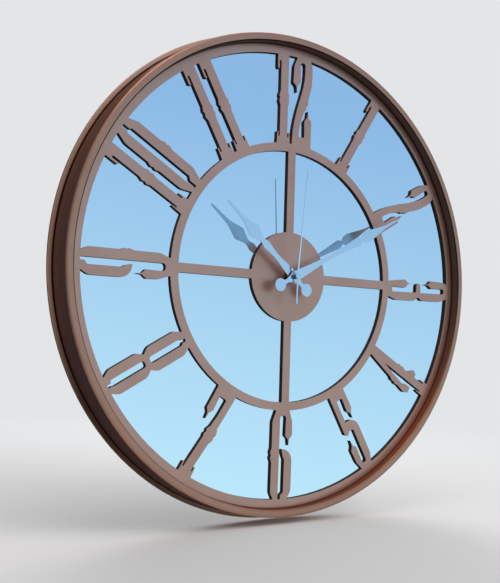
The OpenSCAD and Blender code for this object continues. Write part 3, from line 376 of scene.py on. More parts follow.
def lacqueredMdf(look):
    # laser-cut MDF sheet: copper lacquer on its faces, burnt cut edges, a painted shade line where the lip
    # sits on it
    material, tree, place, surface = newFinish("lacquered_mdf")
    cloud = addNode(tree, "ShaderNodeTexNoise",
                    {"Vector": place, "Scale": perMetre(look["cloudMm"]), "Detail": 3.0})
    flake = addNode(tree, "ShaderNodeTexNoise",
                    {"Vector": place, "Scale": perMetre(look["flakeMm"]), "Detail": 2.0})
    lacquer = addNode(tree, "ShaderNodeValToRGB",
                      {"Fac": cloud}, ((0.35, look["shade"]), (0.65, look["colour"])))
    cut = addNode(tree, "ShaderNodeValToRGB", {"Fac": flake}, ((0.3, look["char"]), (0.7, look["burnt"])))
    across = addNode(tree, "ShaderNodeVectorMath", {0: place, 1: (1, 0, 1)}, operation="MULTIPLY")
    radius = addNode(tree, "ShaderNodeVectorMath", {0: across}, operation="LENGTH").outputs["Value"]
    # a dark ring of painted shade just inside the frame's lip
    seamShade = addNode(tree, "ShaderNodeMapRange",
                   {"Value": radius, "From Min": look["seamShadeMm"][0] * mm, "From Max": look["seamShadeMm"][1] * mm})
    face = addNode(tree, "ShaderNodeMix",
                   {"Factor": seamShade, 6: lacquer, 7: linear(look["seamShade"])}, data_type="RGBA")
    normal = addNode(tree, "ShaderNodeNewGeometry").outputs["Normal"]
    facing = addNode(tree, "ShaderNodeSeparateXYZ", {"Vector": normal}).outputs["Y"]
    flat = addNode(tree, "ShaderNodeMath", {0: facing}, operation="ABSOLUTE")
    mask = addNode(tree, "ShaderNodeMapRange",
                   {"Value": flat, "From Min": look["cutSlope"][0], "From Max": look["cutSlope"][1]})
    colour = addNode(tree, "ShaderNodeMix", {"Factor": mask, 6: cut, 7: face}, data_type="RGBA")
    metal = addNode(tree, "ShaderNodeMapRange", {"Value": mask, "To Max": look["metal"]})
    rough = addNode(tree, "ShaderNodeMapRange",
                    {"Value": mask, "To Min": look["cutRough"], "To Max": look["rough"]})
    bump = addNode(tree, "ShaderNodeBump", {"Height": flake, "Strength": 0.1, "Distance": 0.04 * mm})
    setInputs(surface, {"Base Color": colour, "Metallic": metal, "Roughness": rough, "Normal": bump})
    return material


mirrorLook = {"silver": "#F8FAFA", "wipeMm": 90, "haze": 0.03}


def silveredGlass(look):
    # float glass silvered on its back: a clean mirror with the faintest haze from wiping
    material, tree, place, surface = newFinish("silvered_glass")
    wipe = addNode(tree, "ShaderNodeTexNoise",
                   {"Vector": place, "Scale": perMetre(look["wipeMm"]), "Detail": 4.0})
    haze = addNode(tree, "ShaderNodeMapRange",
                   {"Value": wipe, "From Min": 0.4, "From Max": 0.8, "To Max": look["haze"]})
    setInputs(surface, {"Base Color": linear(look["silver"]), "Metallic": 1.0, "Roughness": haze})
    return material


handLook = {"metal": "#ECEEF2", "shade": "#DBE0E7", "brushMm": 0.5, "rough": (0.11, 0.21),
            "mill": "#C8D2DE", "millRough": 0.34, "millSlope": (0.3, 0.7)}


def polishedAluminium(look):
    # stamped aluminium leaf: polished in front, where it takes the colour of the sky, and duller behind
    material, tree, place, surface = newFinish("polished_aluminium")
    brush = addNode(tree, "ShaderNodeTexNoise",
                    {"Vector": place, "Scale": perMetre(look["brushMm"]), "Detail": 2.0})
    leaf = addNode(tree, "ShaderNodeValToRGB", {"Fac": brush}, ((0.3, look["shade"]), (0.7, look["metal"])))
    normal = addNode(tree, "ShaderNodeNewGeometry").outputs["Normal"]
    facing = addNode(tree, "ShaderNodeSeparateXYZ", {"Vector": normal}).outputs["Y"]
    behind = addNode(tree, "ShaderNodeMapRange",
                     {"Value": facing, "From Min": look["millSlope"][0], "From Max": look["millSlope"][1]})
    colour = addNode(tree, "ShaderNodeMix",
                     {"Factor": behind, 6: leaf, 7: linear(look["mill"])}, data_type="RGBA")
    polish = addNode(tree, "ShaderNodeMapRange",
                     {"Value": brush, "To Min": look["rough"][0], "To Max": look["rough"][1]})
    rough = addNode(tree, "ShaderNodeMapRange",
                    {"Value": behind, "To Min": polish, "To Max": look["millRough"]})
    setInputs(surface, {"Base Color": colour, "Metallic": 1.0, "Roughness": rough})
    return material


# Finishes of the back

hardboardLook = {"light": "#8A6446", "dark": "#5C3F2B", "fibreMm": 4, "screenMm": 1.5, "pitShade": 0.72,
                 "rough": 0.82}


def screenBackHardboard(look):
    # wet-pressed hardboard: brown felted fibre, its back printed with the weave of the pressing screen
    material, tree, place, surface = newFinish("screen_back_hardboard")
    fibre = addNode(tree, "ShaderNodeTexNoise",
                    {"Vector": place, "Scale": perMetre(look["fibreMm"]), "Detail": 8.0, "Roughness": 0.7})
    colour = addNode(tree, "ShaderNodeValToRGB", {"Fac": fibre}, ((0.3, look["dark"]), (0.7, look["light"])))
    wires = [addNode(tree, "ShaderNodeTexWave",
                     {"Vector": place, "Scale": waveScale(look["screenMm"]), "Distortion": 0.4},
                     bands_direction=way).outputs["Fac"] for way in ("X", "Z")]
    screen = addNode(tree, "ShaderNodeMath", {0: wires[0], 1: wires[1]}, operation="MULTIPLY")
    pits = addNode(tree, "ShaderNodeMapRange", {"Value": screen, "To Min": 1.0, "To Max": look["pitShade"]})
    shaded = addNode(tree, "ShaderNodeMix",
                     {"Factor": 1.0, 6: colour, 7: pits}, data_type="RGBA", blend_type="MULTIPLY")
    weave = addNode(tree, "ShaderNodeBump",
                    {"Height": screen, "Strength": 0.6, "Distance": 0.2 * mm}, invert=True)
    bump = addNode(tree, "ShaderNodeBump",
                   {"Height": fibre, "Strength": 0.4, "Distance": 0.15 * mm, "Normal": weave})
    setInputs(surface, {"Base Color": shaded, "Roughness": look["rough"], "Normal": bump})
    return material


caseLook = {"deep": "#141516", "grey": "#242628", "grainMm": 0.35, "scuffMm": 14, "rough": (0.58, 0.42)}


def sparkTexturedPlastic(look):
    # black moulded plastic from a spark-eroded tool: fine even grain, a little greyer where handled
    material, tree, place, surface = newFinish("spark_textured_plastic")
    grain = addNode(tree, "ShaderNodeTexNoise",
                    {"Vector": place, "Scale": perMetre(look["grainMm"]), "Detail": 3.0})
    scuff = addNode(tree, "ShaderNodeTexNoise",
                    {"Vector": place, "Scale": perMetre(look["scuffMm"]), "Detail": 5.0})
    colour = addNode(tree, "ShaderNodeValToRGB", {"Fac": scuff}, ((0.4, look["deep"]), (0.75, look["grey"])))
    rough = addNode(tree, "ShaderNodeMapRange",
                    {"Value": scuff, "To Min": look["rough"][0], "To Max": look["rough"][1]})
    bump = addNode(tree, "ShaderNodeBump", {"Height": grain, "Strength": 0.35, "Distance": 0.06 * mm})
    setInputs(surface, {"Base Color": colour, "Roughness": rough, "Normal": bump})
    return material


zincLook = {"bright": "#CDD2D6", "dull": "#A3A9AE", "spangleMm": 2.2, "streakMm": 6, "rough": (0.28, 0.44)}


def zincPlate(look):
    # zinc-plated sheet: cool grey metal with a small spangle, drifting dull patches and a thin pale bloom
    material, tree, place, surface = newFinish("zinc_plate")
    spangle = addNode(tree, "ShaderNodeTexVoronoi", {"Vector": place, "Scale": perMetre(look["spangleMm"])})
    streak = addNode(tree, "ShaderNodeTexNoise",
                     {"Vector": place, "Scale": perMetre(look["streakMm"]), "Detail": 4.0})
    tone = addNode(tree, "ShaderNodeMix",
                   {"Factor": 0.5, 6: spangle.outputs["Color"], 7: streak}, data_type="RGBA")
    colour = addNode(tree, "ShaderNodeValToRGB", {"Fac": tone}, ((0.3, look["dull"]), (0.7, look["bright"])))
    rough = addNode(tree, "ShaderNodeMapRange",
                    {"Value": streak, "From Min": 0.3, "From Max": 0.7,
                     "To Min": look["rough"][0], "To Max": look["rough"][1]})
    setInputs(surface, {"Base Color": colour, "Metallic": 0.8, "Roughness": rough})
    return material


brassLook = {"bright": "#C29A62", "dull": "#8A6840", "turnMm": 0.25, "tarnishMm": 5, "rough": (0.34, 0.18)}


def turnedBrass(look):
    # free-cutting brass off a lathe: warm yellow with fine rings about the hand axis, browning in patches
    material, tree, place, surface = newFinish("turned_brass")
    rings = addNode(tree, "ShaderNodeTexWave",
                    {"Vector": place, "Scale": waveScale(look["turnMm"]), "Distortion": 0.6},
                    wave_type="RINGS", rings_direction="Y")
    tarnish = addNode(tree, "ShaderNodeTexNoise",
                      {"Vector": place, "Scale": perMetre(look["tarnishMm"]), "Detail": 4.0})
    colour = addNode(tree, "ShaderNodeValToRGB",
                     {"Fac": tarnish}, ((0.35, look["dull"]), (0.65, look["bright"])))
    rough = addNode(tree, "ShaderNodeMapRange",
                    {"Value": tarnish, "To Min": look["rough"][0], "To Max": look["rough"][1]})
    bump = addNode(tree, "ShaderNodeBump",
                   {"Height": rings.outputs["Fac"], "Strength": 0.15, "Distance": 0.03 * mm})
    setInputs(surface, {"Base Color": colour, "Metallic": 1.0, "Roughness": rough, "Normal": bump})
    return material


rubberLook = {"black": "#121212", "dust": "#2C2B2A", "dustMm": 3, "rough": 0.85}


def cutRubberSheet(look):
    # soft black sheet rubber: matt, with a bloom of pale dust
    material, tree, place, surface = newFinish("cut_rubber_sheet")
    dust = addNode(tree, "ShaderNodeTexNoise",
                   {"Vector": place, "Scale": perMetre(look["dustMm"]), "Detail": 6.0})
    colour = addNode(tree, "ShaderNodeValToRGB", {"Fac": dust}, ((0.45, look["black"]), (0.8, look["dust"])))
    bump = addNode(tree, "ShaderNodeBump", {"Height": dust, "Strength": 0.3, "Distance": 0.1 * mm})
    setInputs(surface, {"Base Color": colour, "Roughness": look["rough"], "Normal": bump})
    return material


jacketLook = {"slate": "#4D565F", "band": "#D8DBDC", "nickel": "#C9CCCE", "wearMm": 7,
              "bandAt": 0.8, "bandWide": 0.05, "bare": 0.035, "edge": 0.002,
              "printMetal": 0.25, "rough": (0.2, 0.42)}


def printedCellJacket(look, ends):
    # cell in a printed film: slate grey with one pale band towards its cap, bare nickel at both ends
    material, tree, place, surface = newFinish("printed_cell_jacket")
    along = addNode(tree, "ShaderNodeSeparateXYZ", {"Vector": place}).outputs["X"]
    share = addNode(tree, "ShaderNodeMapRange", {"Value": along, "From Min": ends[0], "From Max": ends[1]})
    wear = addNode(tree, "ShaderNodeTexNoise",
                   {"Vector": place, "Scale": perMetre(look["wearMm"]), "Detail": 5.0})
    bare, edge, bandFrom = look["bare"], look["edge"], look["bandAt"]
    bandTo = bandFrom + look["bandWide"]
    printed = addNode(tree, "ShaderNodeValToRGB", {"Fac": share}, (
        (bare, look["nickel"]), (bare + edge, look["slate"]),
        (bandFrom, look["slate"]), (bandFrom + edge, look["band"]),
        (bandTo, look["band"]), (bandTo + edge, look["slate"]),
        (1 - bare - edge, look["slate"]), (1 - bare, look["nickel"])))
    middle = addNode(tree, "ShaderNodeMath", {0: share, 1: 0.5, 2: 0.5 - bare}, operation="COMPARE")
    metal = addNode(tree, "ShaderNodeMapRange",
                    {"Value": middle, "To Min": 1.0, "To Max": look["printMetal"]})
    rough = addNode(tree, "ShaderNodeMapRange",
                    {"Value": wear, "To Min": look["rough"][0], "To Max": look["rough"][1]})
    setInputs(surface, {"Base Color": printed, "Metallic": metal, "Roughness": rough,
                        "Coat Weight": 0.3, "Coat Roughness": 0.1})
    return material


knobLook = {"grey": "#BDBBB3", "worn": "#CFCDC6", "grainMm": 0.3, "handledMm": 4, "rough": (0.55, 0.35)}


def mouldedKnobPlastic(look):
    # pale grey moulded thumb wheel: fine grain, polished a little by fingers
    material, tree, place, surface = newFinish("moulded_knob_plastic")
    grain = addNode(tree, "ShaderNodeTexNoise",
                    {"Vector": place, "Scale": perMetre(look["grainMm"]), "Detail": 2.0})
    handled = addNode(tree, "ShaderNodeTexNoise",
                      {"Vector": place, "Scale": perMetre(look["handledMm"]), "Detail": 4.0})
    colour = addNode(tree, "ShaderNodeValToRGB",
                     {"Fac": handled}, ((0.35, look["grey"]), (0.65, look["worn"])))
    rough = addNode(tree, "ShaderNodeMapRange",
                    {"Value": handled, "To Min": look["rough"][0], "To Max": look["rough"][1]})
    bump = addNode(tree, "ShaderNodeBump", {"Height": grain, "Strength": 0.2, "Distance": 0.04 * mm})
    setInputs(surface, {"Base Color": colour, "Roughness": rough, "Normal": bump})
    return material


# Finishes inside the movement

acetalLook = {"ivory": "#E9E4D6", "shade": "#DAD4C4", "flowMm": 5, "rough": (0.3, 0.46)}


def mouldedAcetal(look):
    # ivory acetal gears: waxy and smooth, with faint flow lines from the mould gate
    material, tree, place, surface = newFinish("moulded_acetal")
    flow = addNode(tree, "ShaderNodeTexNoise",
                   {"Vector": place, "Scale": perMetre(look["flowMm"]), "Detail": 2.0, "Distortion": 2.0})
    colour = addNode(tree, "ShaderNodeValToRGB",
                     {"Fac": flow}, ((0.35, look["shade"]), (0.65, look["ivory"])))
    rough = addNode(tree, "ShaderNodeMapRange",
                    {"Value": flow, "To Min": look["rough"][0], "To Max": look["rough"][1]})
    setInputs(surface, {"Base Color": colour, "Roughness": rough,
                        "Subsurface Weight": 0.05, "Subsurface Scale": 0.5 * mm})
    return material


ferriteLook = {"grey": "#45474A", "dark": "#2A2B2D", "grainMm": 0.2, "rough": 0.62}


def sinteredFerrite(look):
    # pressed and sintered magnet: dull grey with a sandy grain
    material, tree, place, surface = newFinish("sintered_ferrite")
    grain = addNode(tree, "ShaderNodeTexNoise",
                    {"Vector": place, "Scale": perMetre(look["grainMm"]), "Detail": 4.0})
    colour = addNode(tree, "ShaderNodeValToRGB",
                     {"Fac": grain}, ((0.35, look["dark"]), (0.65, look["grey"])))
    bump = addNode(tree, "ShaderNodeBump", {"Height": grain, "Strength": 0.3, "Distance": 0.05 * mm})
    setInputs(surface, {"Base Color": colour, "Metallic": 0.4, "Roughness": look["rough"], "Normal": bump})
    return material


coreLook = {"bright": "#A7ABAF", "dull": "#85898D", "rollMm": 0.4, "stretch": 0.08, "rough": (0.3, 0.46)}


def rolledCoreSteel(look):
    # stamped soft iron sheet: grey, with rolling lines along the strip
    material, tree, place, surface = newFinish("rolled_core_steel")
    strip = addNode(tree, "ShaderNodeVectorMath",
                    {0: place, 1: (look["stretch"], 1, 1)}, operation="MULTIPLY")
    lines = addNode(tree, "ShaderNodeTexNoise",
                    {"Vector": strip, "Scale": perMetre(look["rollMm"]), "Detail": 3.0})
    colour = addNode(tree, "ShaderNodeValToRGB",
                     {"Fac": lines}, ((0.3, look["dull"]), (0.7, look["bright"])))
    rough = addNode(tree, "ShaderNodeMapRange",
                    {"Value": lines, "To Min": look["rough"][0], "To Max": look["rough"][1]})
    setInputs(surface, {"Base Color": colour, "Metallic": 1.0, "Roughness": rough})
    return material


bobbinLook = {"dark": "#1E2226", "pale": "#30363B", "glassMm": 0.25, "rough": 0.5}


def glassFilledNylon(look):
    # dark nylon bobbin: short pale glass fibres just under the skin
    material, tree, place, surface = newFinish("glass_filled_nylon")
    fibres = addNode(tree, "ShaderNodeTexNoise",
                     {"Vector": place, "Scale": perMetre(look["glassMm"]), "Detail": 5.0})
    colour = addNode(tree, "ShaderNodeValToRGB",
                     {"Fac": fibres}, ((0.45, look["dark"]), (0.7, look["pale"])))
    bump = addNode(tree, "ShaderNodeBump", {"Height": fibres, "Strength": 0.2, "Distance": 0.03 * mm})
    setInputs(surface, {"Base Color": colour, "Roughness": look["rough"], "Normal": bump})
    return material


wireLook = {"copper": "#C9693A", "amber": "#A9501F", "varnishMm": 2.5, "rough": (0.34, 0.14)}


def enamelledWire(look):
    # fine copper wire in clear amber enamel: glossy, uneven where the varnish ran
    material, tree, place, surface = newFinish("enamelled_wire")
    varnish = addNode(tree, "ShaderNodeTexNoise",
                      {"Vector": place, "Scale": perMetre(look["varnishMm"]), "Detail": 3.0})
    colour = addNode(tree, "ShaderNodeValToRGB",
                     {"Fac": varnish}, ((0.35, look["amber"]), (0.65, look["copper"])))
    rough = addNode(tree, "ShaderNodeMapRange",
                    {"Value": varnish, "To Min": look["rough"][0], "To Max": look["rough"][1]})
    setInputs(surface, {"Base Color": colour, "Metallic": 0.9, "Roughness": rough, "Coat Weight": 0.6})
    return material


boardLook = {"mask": "#1D5B3A", "track": "#2F7A50", "trackMm": 1.4, "rough": 0.32}


def solderMask(look):
    # circuit board under green solder mask: the copper tracks show through as paler lines
    material, tree, place, surface = newFinish("solder_mask")
    tracks = addNode(tree, "ShaderNodeTexVoronoi", {"Vector": place, "Scale": perMetre(look["trackMm"])},
                     feature="DISTANCE_TO_EDGE", distance="MANHATTAN")
    colour = addNode(tree, "ShaderNodeValToRGB",
                     {"Fac": tracks}, ((0.1, look["track"]), (0.16, look["mask"])))
    bump = addNode(tree, "ShaderNodeBump",
                   {"Height": tracks, "Strength": 0.2, "Distance": 0.03 * mm}, invert=True)
    setInputs(surface, {"Base Color": colour, "Roughness": look["rough"], "Normal": bump})
    return material


epoxyLook = {"black": "#0D0D0E", "brown": "#1B1714", "flowMm": 2, "rough": 0.2}


def castEpoxy(look):
    # drop of black epoxy over the chip: glossy, a little wavy from setting
    material, tree, place, surface = newFinish("cast_epoxy")
    flow = addNode(tree, "ShaderNodeTexNoise",
                   {"Vector": place, "Scale": perMetre(look["flowMm"]), "Detail": 2.0})
    colour = addNode(tree, "ShaderNodeValToRGB", {"Fac": flow}, ((0.4, look["black"]), (0.7, look["brown"])))
    bump = addNode(tree, "ShaderNodeBump", {"Height": flow, "Strength": 0.3, "Distance": 0.1 * mm})
    setInputs(surface, {"Base Color": colour, "Roughness": look["rough"], "Normal": bump})
    return material


canLook = {"bright": "#D6D8DB", "dull": "#B4B7BB", "drawMm": 0.3, "stretch": 0.1, "rough": (0.14, 0.26)}


def drawnNickelCan(look):
    # deep-drawn nickel can of the crystal: bright, with fine lines along the draw
    material, tree, place, surface = newFinish("drawn_nickel_can")
    drawn = addNode(tree, "ShaderNodeVectorMath",
                    {0: place, 1: (1, 1, look["stretch"])}, operation="MULTIPLY")
    lines = addNode(tree, "ShaderNodeTexNoise",
                    {"Vector": drawn, "Scale": perMetre(look["drawMm"]), "Detail": 2.0})
    colour = addNode(tree, "ShaderNodeValToRGB",
                     {"Fac": lines}, ((0.3, look["dull"]), (0.7, look["bright"])))
    rough = addNode(tree, "ShaderNodeMapRange",
                    {"Value": lines, "To Min": look["rough"][0], "To Max": look["rough"][1]})
    setInputs(surface, {"Base Color": colour, "Metallic": 1.0, "Roughness": rough})
    return material


aluminium = polishedAluminium(handLook)
plastic = sparkTexturedPlastic(caseLook)
zinc = zincPlate(zincLook)
brass = turnedBrass(brassLook)
acetal = mouldedAcetal(acetalLook)
coreSteel = rolledCoreSteel(coreLook)
wire = enamelledWire(wireLook)
finishes = {
    "frame_ring": satinCopperLacquer(copperFrame),
    "dial_plate": lacqueredMdf(copperDial),
    "mirror_glass": silveredGlass(mirrorLook),
    "back_board": screenBackHardboard(hardboardLook),
    "rubber_gasket": cutRubberSheet(rubberLook),
    "rotor_magnet": sinteredFerrite(ferriteLook),
    "coil_bobbin": glassFilledNylon(bobbinLook),
    "coil_winding": wire,
    "circuit_board": solderMask(boardLook),
    "chip_cap": castEpoxy(epoxyLook),
    "crystal": drawnNickelCan(canLook),
    "battery": printedCellJacket(jacketLook, [corner[0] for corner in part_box("battery")]),
    "setting_knob": mouldedKnobPlastic(knobLook),
}
shared = {
    aluminium: ("hour_hand", "minute_hand", "minute_nut", "second_hand", "second_tube", "second_cap"),
    plastic: ("movement_case", "movement_cover"),
    zinc: ("retaining_points", "hanger_plate", "hanger_rivets", "positive_contact", "negative_contact"),
    brass: ("threaded_bush", "bush_washer", "bush_nut", "cannon_pinion"),
    acetal: ("train_plate", "hour_wheel", "motion_wheel", "centre_wheel", "third_wheel", "second_wheel",
             "fifth_wheel", "rotor_pinion"),
    coreSteel: ("stator", "coil_core"),
}
for material, names in shared.items():
    finishes.update(dict.fromkeys(names, material))
for name, material in finishes.items():
    nodes[name].data.materials.clear()
    nodes[name].data.materials.append(material)
print("finishes given to", len(finishes), "nodes")


# Small pieces in finer detail than their solids

weldMm = 0.0001
sharpDeg = 32


def toMesh(bm, name):
    bmesh.ops.remove_doubles(bm, verts=bm.verts, dist=weldMm * mm)
    bmesh.ops.recalc_face_normals(bm, faces=bm.faces)
    for face in bm.faces:
        face.smooth = True
    mesh = bpy.data.meshes.new(name)
    bm.to_mesh(mesh)
    bm.free()
    mesh.set_sharp_from_angle(angle=math.radians(sharpDeg))
    return mesh


def turned(name, profile, placeMm, turn=Matrix(), closed=False, steps=72):
    bm = bmesh.new()
    verts = [bm.verts.new((radius * mm, 0, along * mm)) for radius, along in profile]
    ends = zip(verts, verts[1:] + verts[:1] if closed else verts[1:])
    edges = [bm.edges.new(pair) for pair in ends]
    bmesh.ops.spin(bm, geom=verts + edges, axis=(0, 0, 1), cent=(0, 0, 0), angle=2 * math.pi, steps=steps)
    bmesh.ops.transform(bm, matrix=Matrix.Translation(Vector(placeMm) * mm) @ turn, verts=bm.verts)
    return toMesh(bm, name)


def sheet(name, outline, thickMm, padMm=0, insetMm=0, place=Matrix()):
    bm = bmesh.new()
    flat = bm.faces.new([bm.verts.new((x * mm, y * mm, 0)) for x, y in outline])
    drawn = bmesh.ops.extrude_face_region(bm, geom=[flat])["geom"]
    upper = [item for item in drawn if isinstance(item, bmesh.types.BMVert)]
    bmesh.ops.translate(bm, vec=(0, 0, thickMm * mm), verts=upper)
    if padMm:
        top = [item for item in drawn if isinstance(item, bmesh.types.BMFace)]
        bmesh.ops.inset_region(bm, faces=top, thickness=insetMm * mm)
        bmesh.ops.inset_region(bm, faces=top, thickness=padMm * mm, depth=padMm * mm)
    bmesh.ops.transform(bm, matrix=place, verts=bm.verts)
    return toMesh(bm, name)


def arc(radius, startDeg, endDeg, steps, centre=(0, 0)):
    turns = [math.radians(startDeg + (endDeg - startDeg) * i / steps) for i in range(steps + 1)]
    return [(centre[0] + radius * math.cos(t), centre[1] + radius * math.sin(t)) for t in turns]


def newTree(name, sockets):
    tree = bpy.data.node_groups.new(name, "GeometryNodeTree")
    for socket, kind in sockets:
        tree.interface.new_socket(socket, in_out="INPUT", socket_type="NodeSocket" + kind)
    tree.interface.new_socket("Mesh", in_out="OUTPUT", socket_type="NodeSocketGeometry")
    return tree, addNode(tree, "NodeGroupInput").outputs


def closeTree(tree, shape, material):
    whole = addNode(tree, "GeometryNodeRealizeInstances", {"Geometry": shape})
    finished = addNode(tree, "GeometryNodeSetMaterial", {"Geometry": whole, "Material": material})
    addNode(tree, "NodeGroupOutput", {"Mesh": finished})


def grow(name, tree, values, body):
    maker = bpy.data.objects.new(name + "_maker", body)
    bpy.context.scene.collection.objects.link(maker)
    modifier = maker.modifiers.new("nodes", "NODES")
    modifier.node_group = tree
    names = {item.name: item.identifier for item in tree.interface.items_tree}
    for socket, value in values.items():
        modifier[names[socket]] = value
    mesh = bpy.data.meshes.new_from_object(maker.evaluated_get(bpy.context.evaluated_depsgraph_get()))
    maker.modifiers.remove(modifier)
    bpy.data.objects.remove(maker)
    return mesh


def addPiece(name, mesh, slot, *replaced):
    piece = bpy.data.objects.new(name, mesh)
    bpy.context.scene.collection.objects.link(piece)
    if replaced:
        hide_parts(*replaced)
    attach(piece, "clock_body")


def spiralWire():
    tree, given = newTree("spiral_wire", (
        ("Body", "Geometry"), ("Turns", "Float"), ("Start Radius", "Float"), ("End Radius", "Float"),
        ("Height", "Float"), ("Wire", "Float"), ("Sides", "Int"), ("Steps", "Int"),
        ("Rotation", "Rotation"), ("Place", "Vector"), ("Material", "Material")))
    path = addNode(tree, "GeometryNodeCurveSpiral", {
        "Resolution": given["Steps"], "Rotations": given["Turns"], "Height": given["Height"],
        "Start Radius": given["Start Radius"], "End Radius": given["End Radius"]})
    level = addNode(tree, "GeometryNodeSetCurveNormal", {"Curve": path}, mode="Z_UP")
    section = addNode(tree, "GeometryNodeCurvePrimitiveCircle",
                      {"Resolution": given["Sides"], "Radius": given["Wire"]})
    drawn = addNode(tree, "GeometryNodeCurveToMesh",
                    {"Curve": level, "Profile Curve": section, "Fill Caps": True})
    smooth = addNode(tree, "GeometryNodeSetShadeSmooth", {"Geometry": drawn})
    laid = addNode(tree, "GeometryNodeTransform", {
        "Geometry": smooth, "Translation": given["Place"], "Rotation": given["Rotation"]})
    both = addNode(tree, "GeometryNodeJoinGeometry", {"Geometry": laid})
    setInputs(both, {"Geometry": given["Body"]})
    closeTree(tree, both, given["Material"])
    return tree


def ringOfPoints():
    tree, given = newTree("ring_of_points", (
        ("Body", "Geometry"), ("Count", "Int"), ("Radius", "Float"),
        ("Rotation", "Rotation"), ("Place", "Vector"), ("Material", "Material")))
    ring = addNode(tree, "GeometryNodeMeshCircle", {"Vertices": given["Count"], "Radius": given["Radius"]})
    spot = addNode(tree, "GeometryNodeInputPosition")
    outward = addNode(tree, "FunctionNodeAlignRotationToVector", {"Vector": spot}, axis="X", pivot_axis="Z")
    spread = addNode(tree, "GeometryNodeInstanceOnPoints", {
        "Points": ring, "Instance": given["Body"], "Rotation": outward})
    hung = addNode(tree, "GeometryNodeTransform", {
        "Geometry": spread, "Translation": given["Place"], "Rotation": given["Rotation"]})
    closeTree(tree, hung, given["Material"])
    return tree


alongX = Matrix.Rotation(math.pi / 2, 4, "Y")
alongBack = Matrix.Rotation(-math.pi / 2, 4, "X")
wound = spiralWire()

bushLook = {"coreMm": 3.62, "chamferMm": 0.5, "boreMm": 2.55, "boreChamferMm": 0.3,
            "collarMm": 6, "collarThickMm": 0.8, "collarChamferMm": 0.15, "pitchMm": 0.75, "ridgeMm": 0.38}


def addBush(look):
    low, high = (corner[1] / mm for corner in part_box("threaded_bush"))
    core, cut = look["coreMm"], look["chamferMm"]
    bore, flare = look["boreMm"], look["boreChamferMm"]
    collar, bevel = look["collarMm"], look["collarChamferMm"]
    seat = high - look["collarThickMm"]
    body = turned("bush_core", (
        (bore + flare, low), (core - cut, low), (core, low + cut), (core, seat),
        (collar - bevel, seat), (collar, seat + bevel), (collar, high - bevel), (collar - bevel, high),
        (bore, high), (bore, low + flare)), (0, 0, 0), alongBack, closed=True)
    length = seat - low - 2 * cut
    mesh = grow("bush", wound, {
        "Turns": length / look["pitchMm"], "Start Radius": core * mm, "End Radius": core * mm,
        "Height": length * mm, "Wire": look["ridgeMm"] * mm, "Sides": 4, "Steps": 40,
        "Rotation": alongBack.to_euler(), "Place": (0, (low + cut) * mm, 0), "Material": brass}, body)
    addPiece("bush_with_thread", mesh, "brass", "threaded_bush")


springLook = {"turns": 3.0, "wideMm": 2.5, "narrowMm": 1.3, "wireMm": 0.22, "plateMm": 0.4, "cornerMm": 1.2}


def addSpringContact(look):
    low, high = ([value / mm for value in corner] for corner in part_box("negative_contact"))
    cell = [(a + b) / 2 / mm for a, b in zip(*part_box("battery"))]
    halfWide, halfTall, corner = (high[1] - low[1]) / 2, (high[2] - low[2]) / 2, look["cornerMm"]
    across, up = halfTall - corner, halfWide - corner
    outline = [point for sx, sy, turn in ((1, 1, 0), (-1, 1, 90), (-1, -1, 180), (1, -1, 270))
               for point in arc(corner, turn, turn + 90, 6, (sx * across, sy * up))]
    middle = Vector((low[0], (low[1] + high[1]) / 2, (low[2] + high[2]) / 2))
    plate = sheet("contact_plate", outline, look["plateMm"], place=Matrix.Translation(middle * mm) @ alongX)
    room = high[0] - low[0] - look["plateMm"] - 2 * look["wireMm"]
    start = low[0] + look["plateMm"] + look["wireMm"]
    mesh = grow("spring_contact", wound, {
        "Turns": look["turns"], "Start Radius": look["wideMm"] * mm, "End Radius": look["narrowMm"] * mm,
        "Height": room * mm, "Wire": look["wireMm"] * mm, "Sides": 10, "Steps": 36,
        "Rotation": alongX.to_euler(), "Place": (start * mm, cell[1] * mm, cell[2] * mm),
        "Material": zinc}, plate)
    addPiece("contact_with_spring", mesh, "zinc_steel", "negative_contact")


# wire drawn coarser than it is, so that its turns show
coilLook = {"wireMm": 0.19, "underMm": 0.35, "boreMm": 1.92}


def addCoil(look):
    low, high = ([value / mm for value in corner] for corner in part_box("coil_winding"))
    centre = (low[0], (low[1] + high[1]) / 2, (low[2] + high[2]) / 2)
    outer, length = (high[1] - low[1]) / 2, high[0] - low[0]
    bore, under, lay = look["boreMm"], outer - look["underMm"], outer - look["wireMm"]
    sleeve = turned("coil_sleeve", ((bore, 0), (under, 0), (under, length), (bore, length)),
                    centre, alongX, closed=True, steps=48)
    run, start = length - 2 * look["wireMm"], low[0] + look["wireMm"]
    mesh = grow("coil", wound, {
        "Turns": run / (2 * look["wireMm"]), "Start Radius": lay * mm, "End Radius": lay * mm,
        "Height": run * mm, "Wire": look["wireMm"] * mm, "Sides": 6, "Steps": 24,
        "Rotation": alongX.to_euler(), "Place": (start * mm, centre[1] * mm, centre[2] * mm),
        "Material": wire}, sleeve)
    addPiece("coil_of_wire", mesh, "copper_wire", "coil_winding")


pointLook = {"count": 12, "innerMm": 235, "outerMm": 244, "wideMm": 12, "noseMm": 4,
             "padMm": 0.25, "insetMm": 1.6}


def addRetainingPoints(look):
    seat, rear = (corner[1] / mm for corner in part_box("retaining_points"))
    long, half, nose = look["outerMm"] - look["innerMm"], look["wideMm"] / 2, look["noseMm"]
    outline = [(long, -half), (long, half)] + arc(nose, 90, 180, 8, (nose, half - nose)) + arc(
        nose, 180, 270, 8, (nose, nose - half))
    tab = sheet("point_sheet", outline, rear - seat, look["padMm"], look["insetMm"])
    mesh = grow("retaining_points", ringOfPoints(), {
        "Count": look["count"], "Radius": look["innerMm"] * mm,
        "Rotation": (alongBack @ Matrix.Rotation(math.pi / look["count"], 4, "Z")).to_euler(),
        "Place": (0, seat * mm, 0), "Material": zinc}, tab)
    addPiece("retaining_point_ring", mesh, "zinc_steel", "retaining_points")


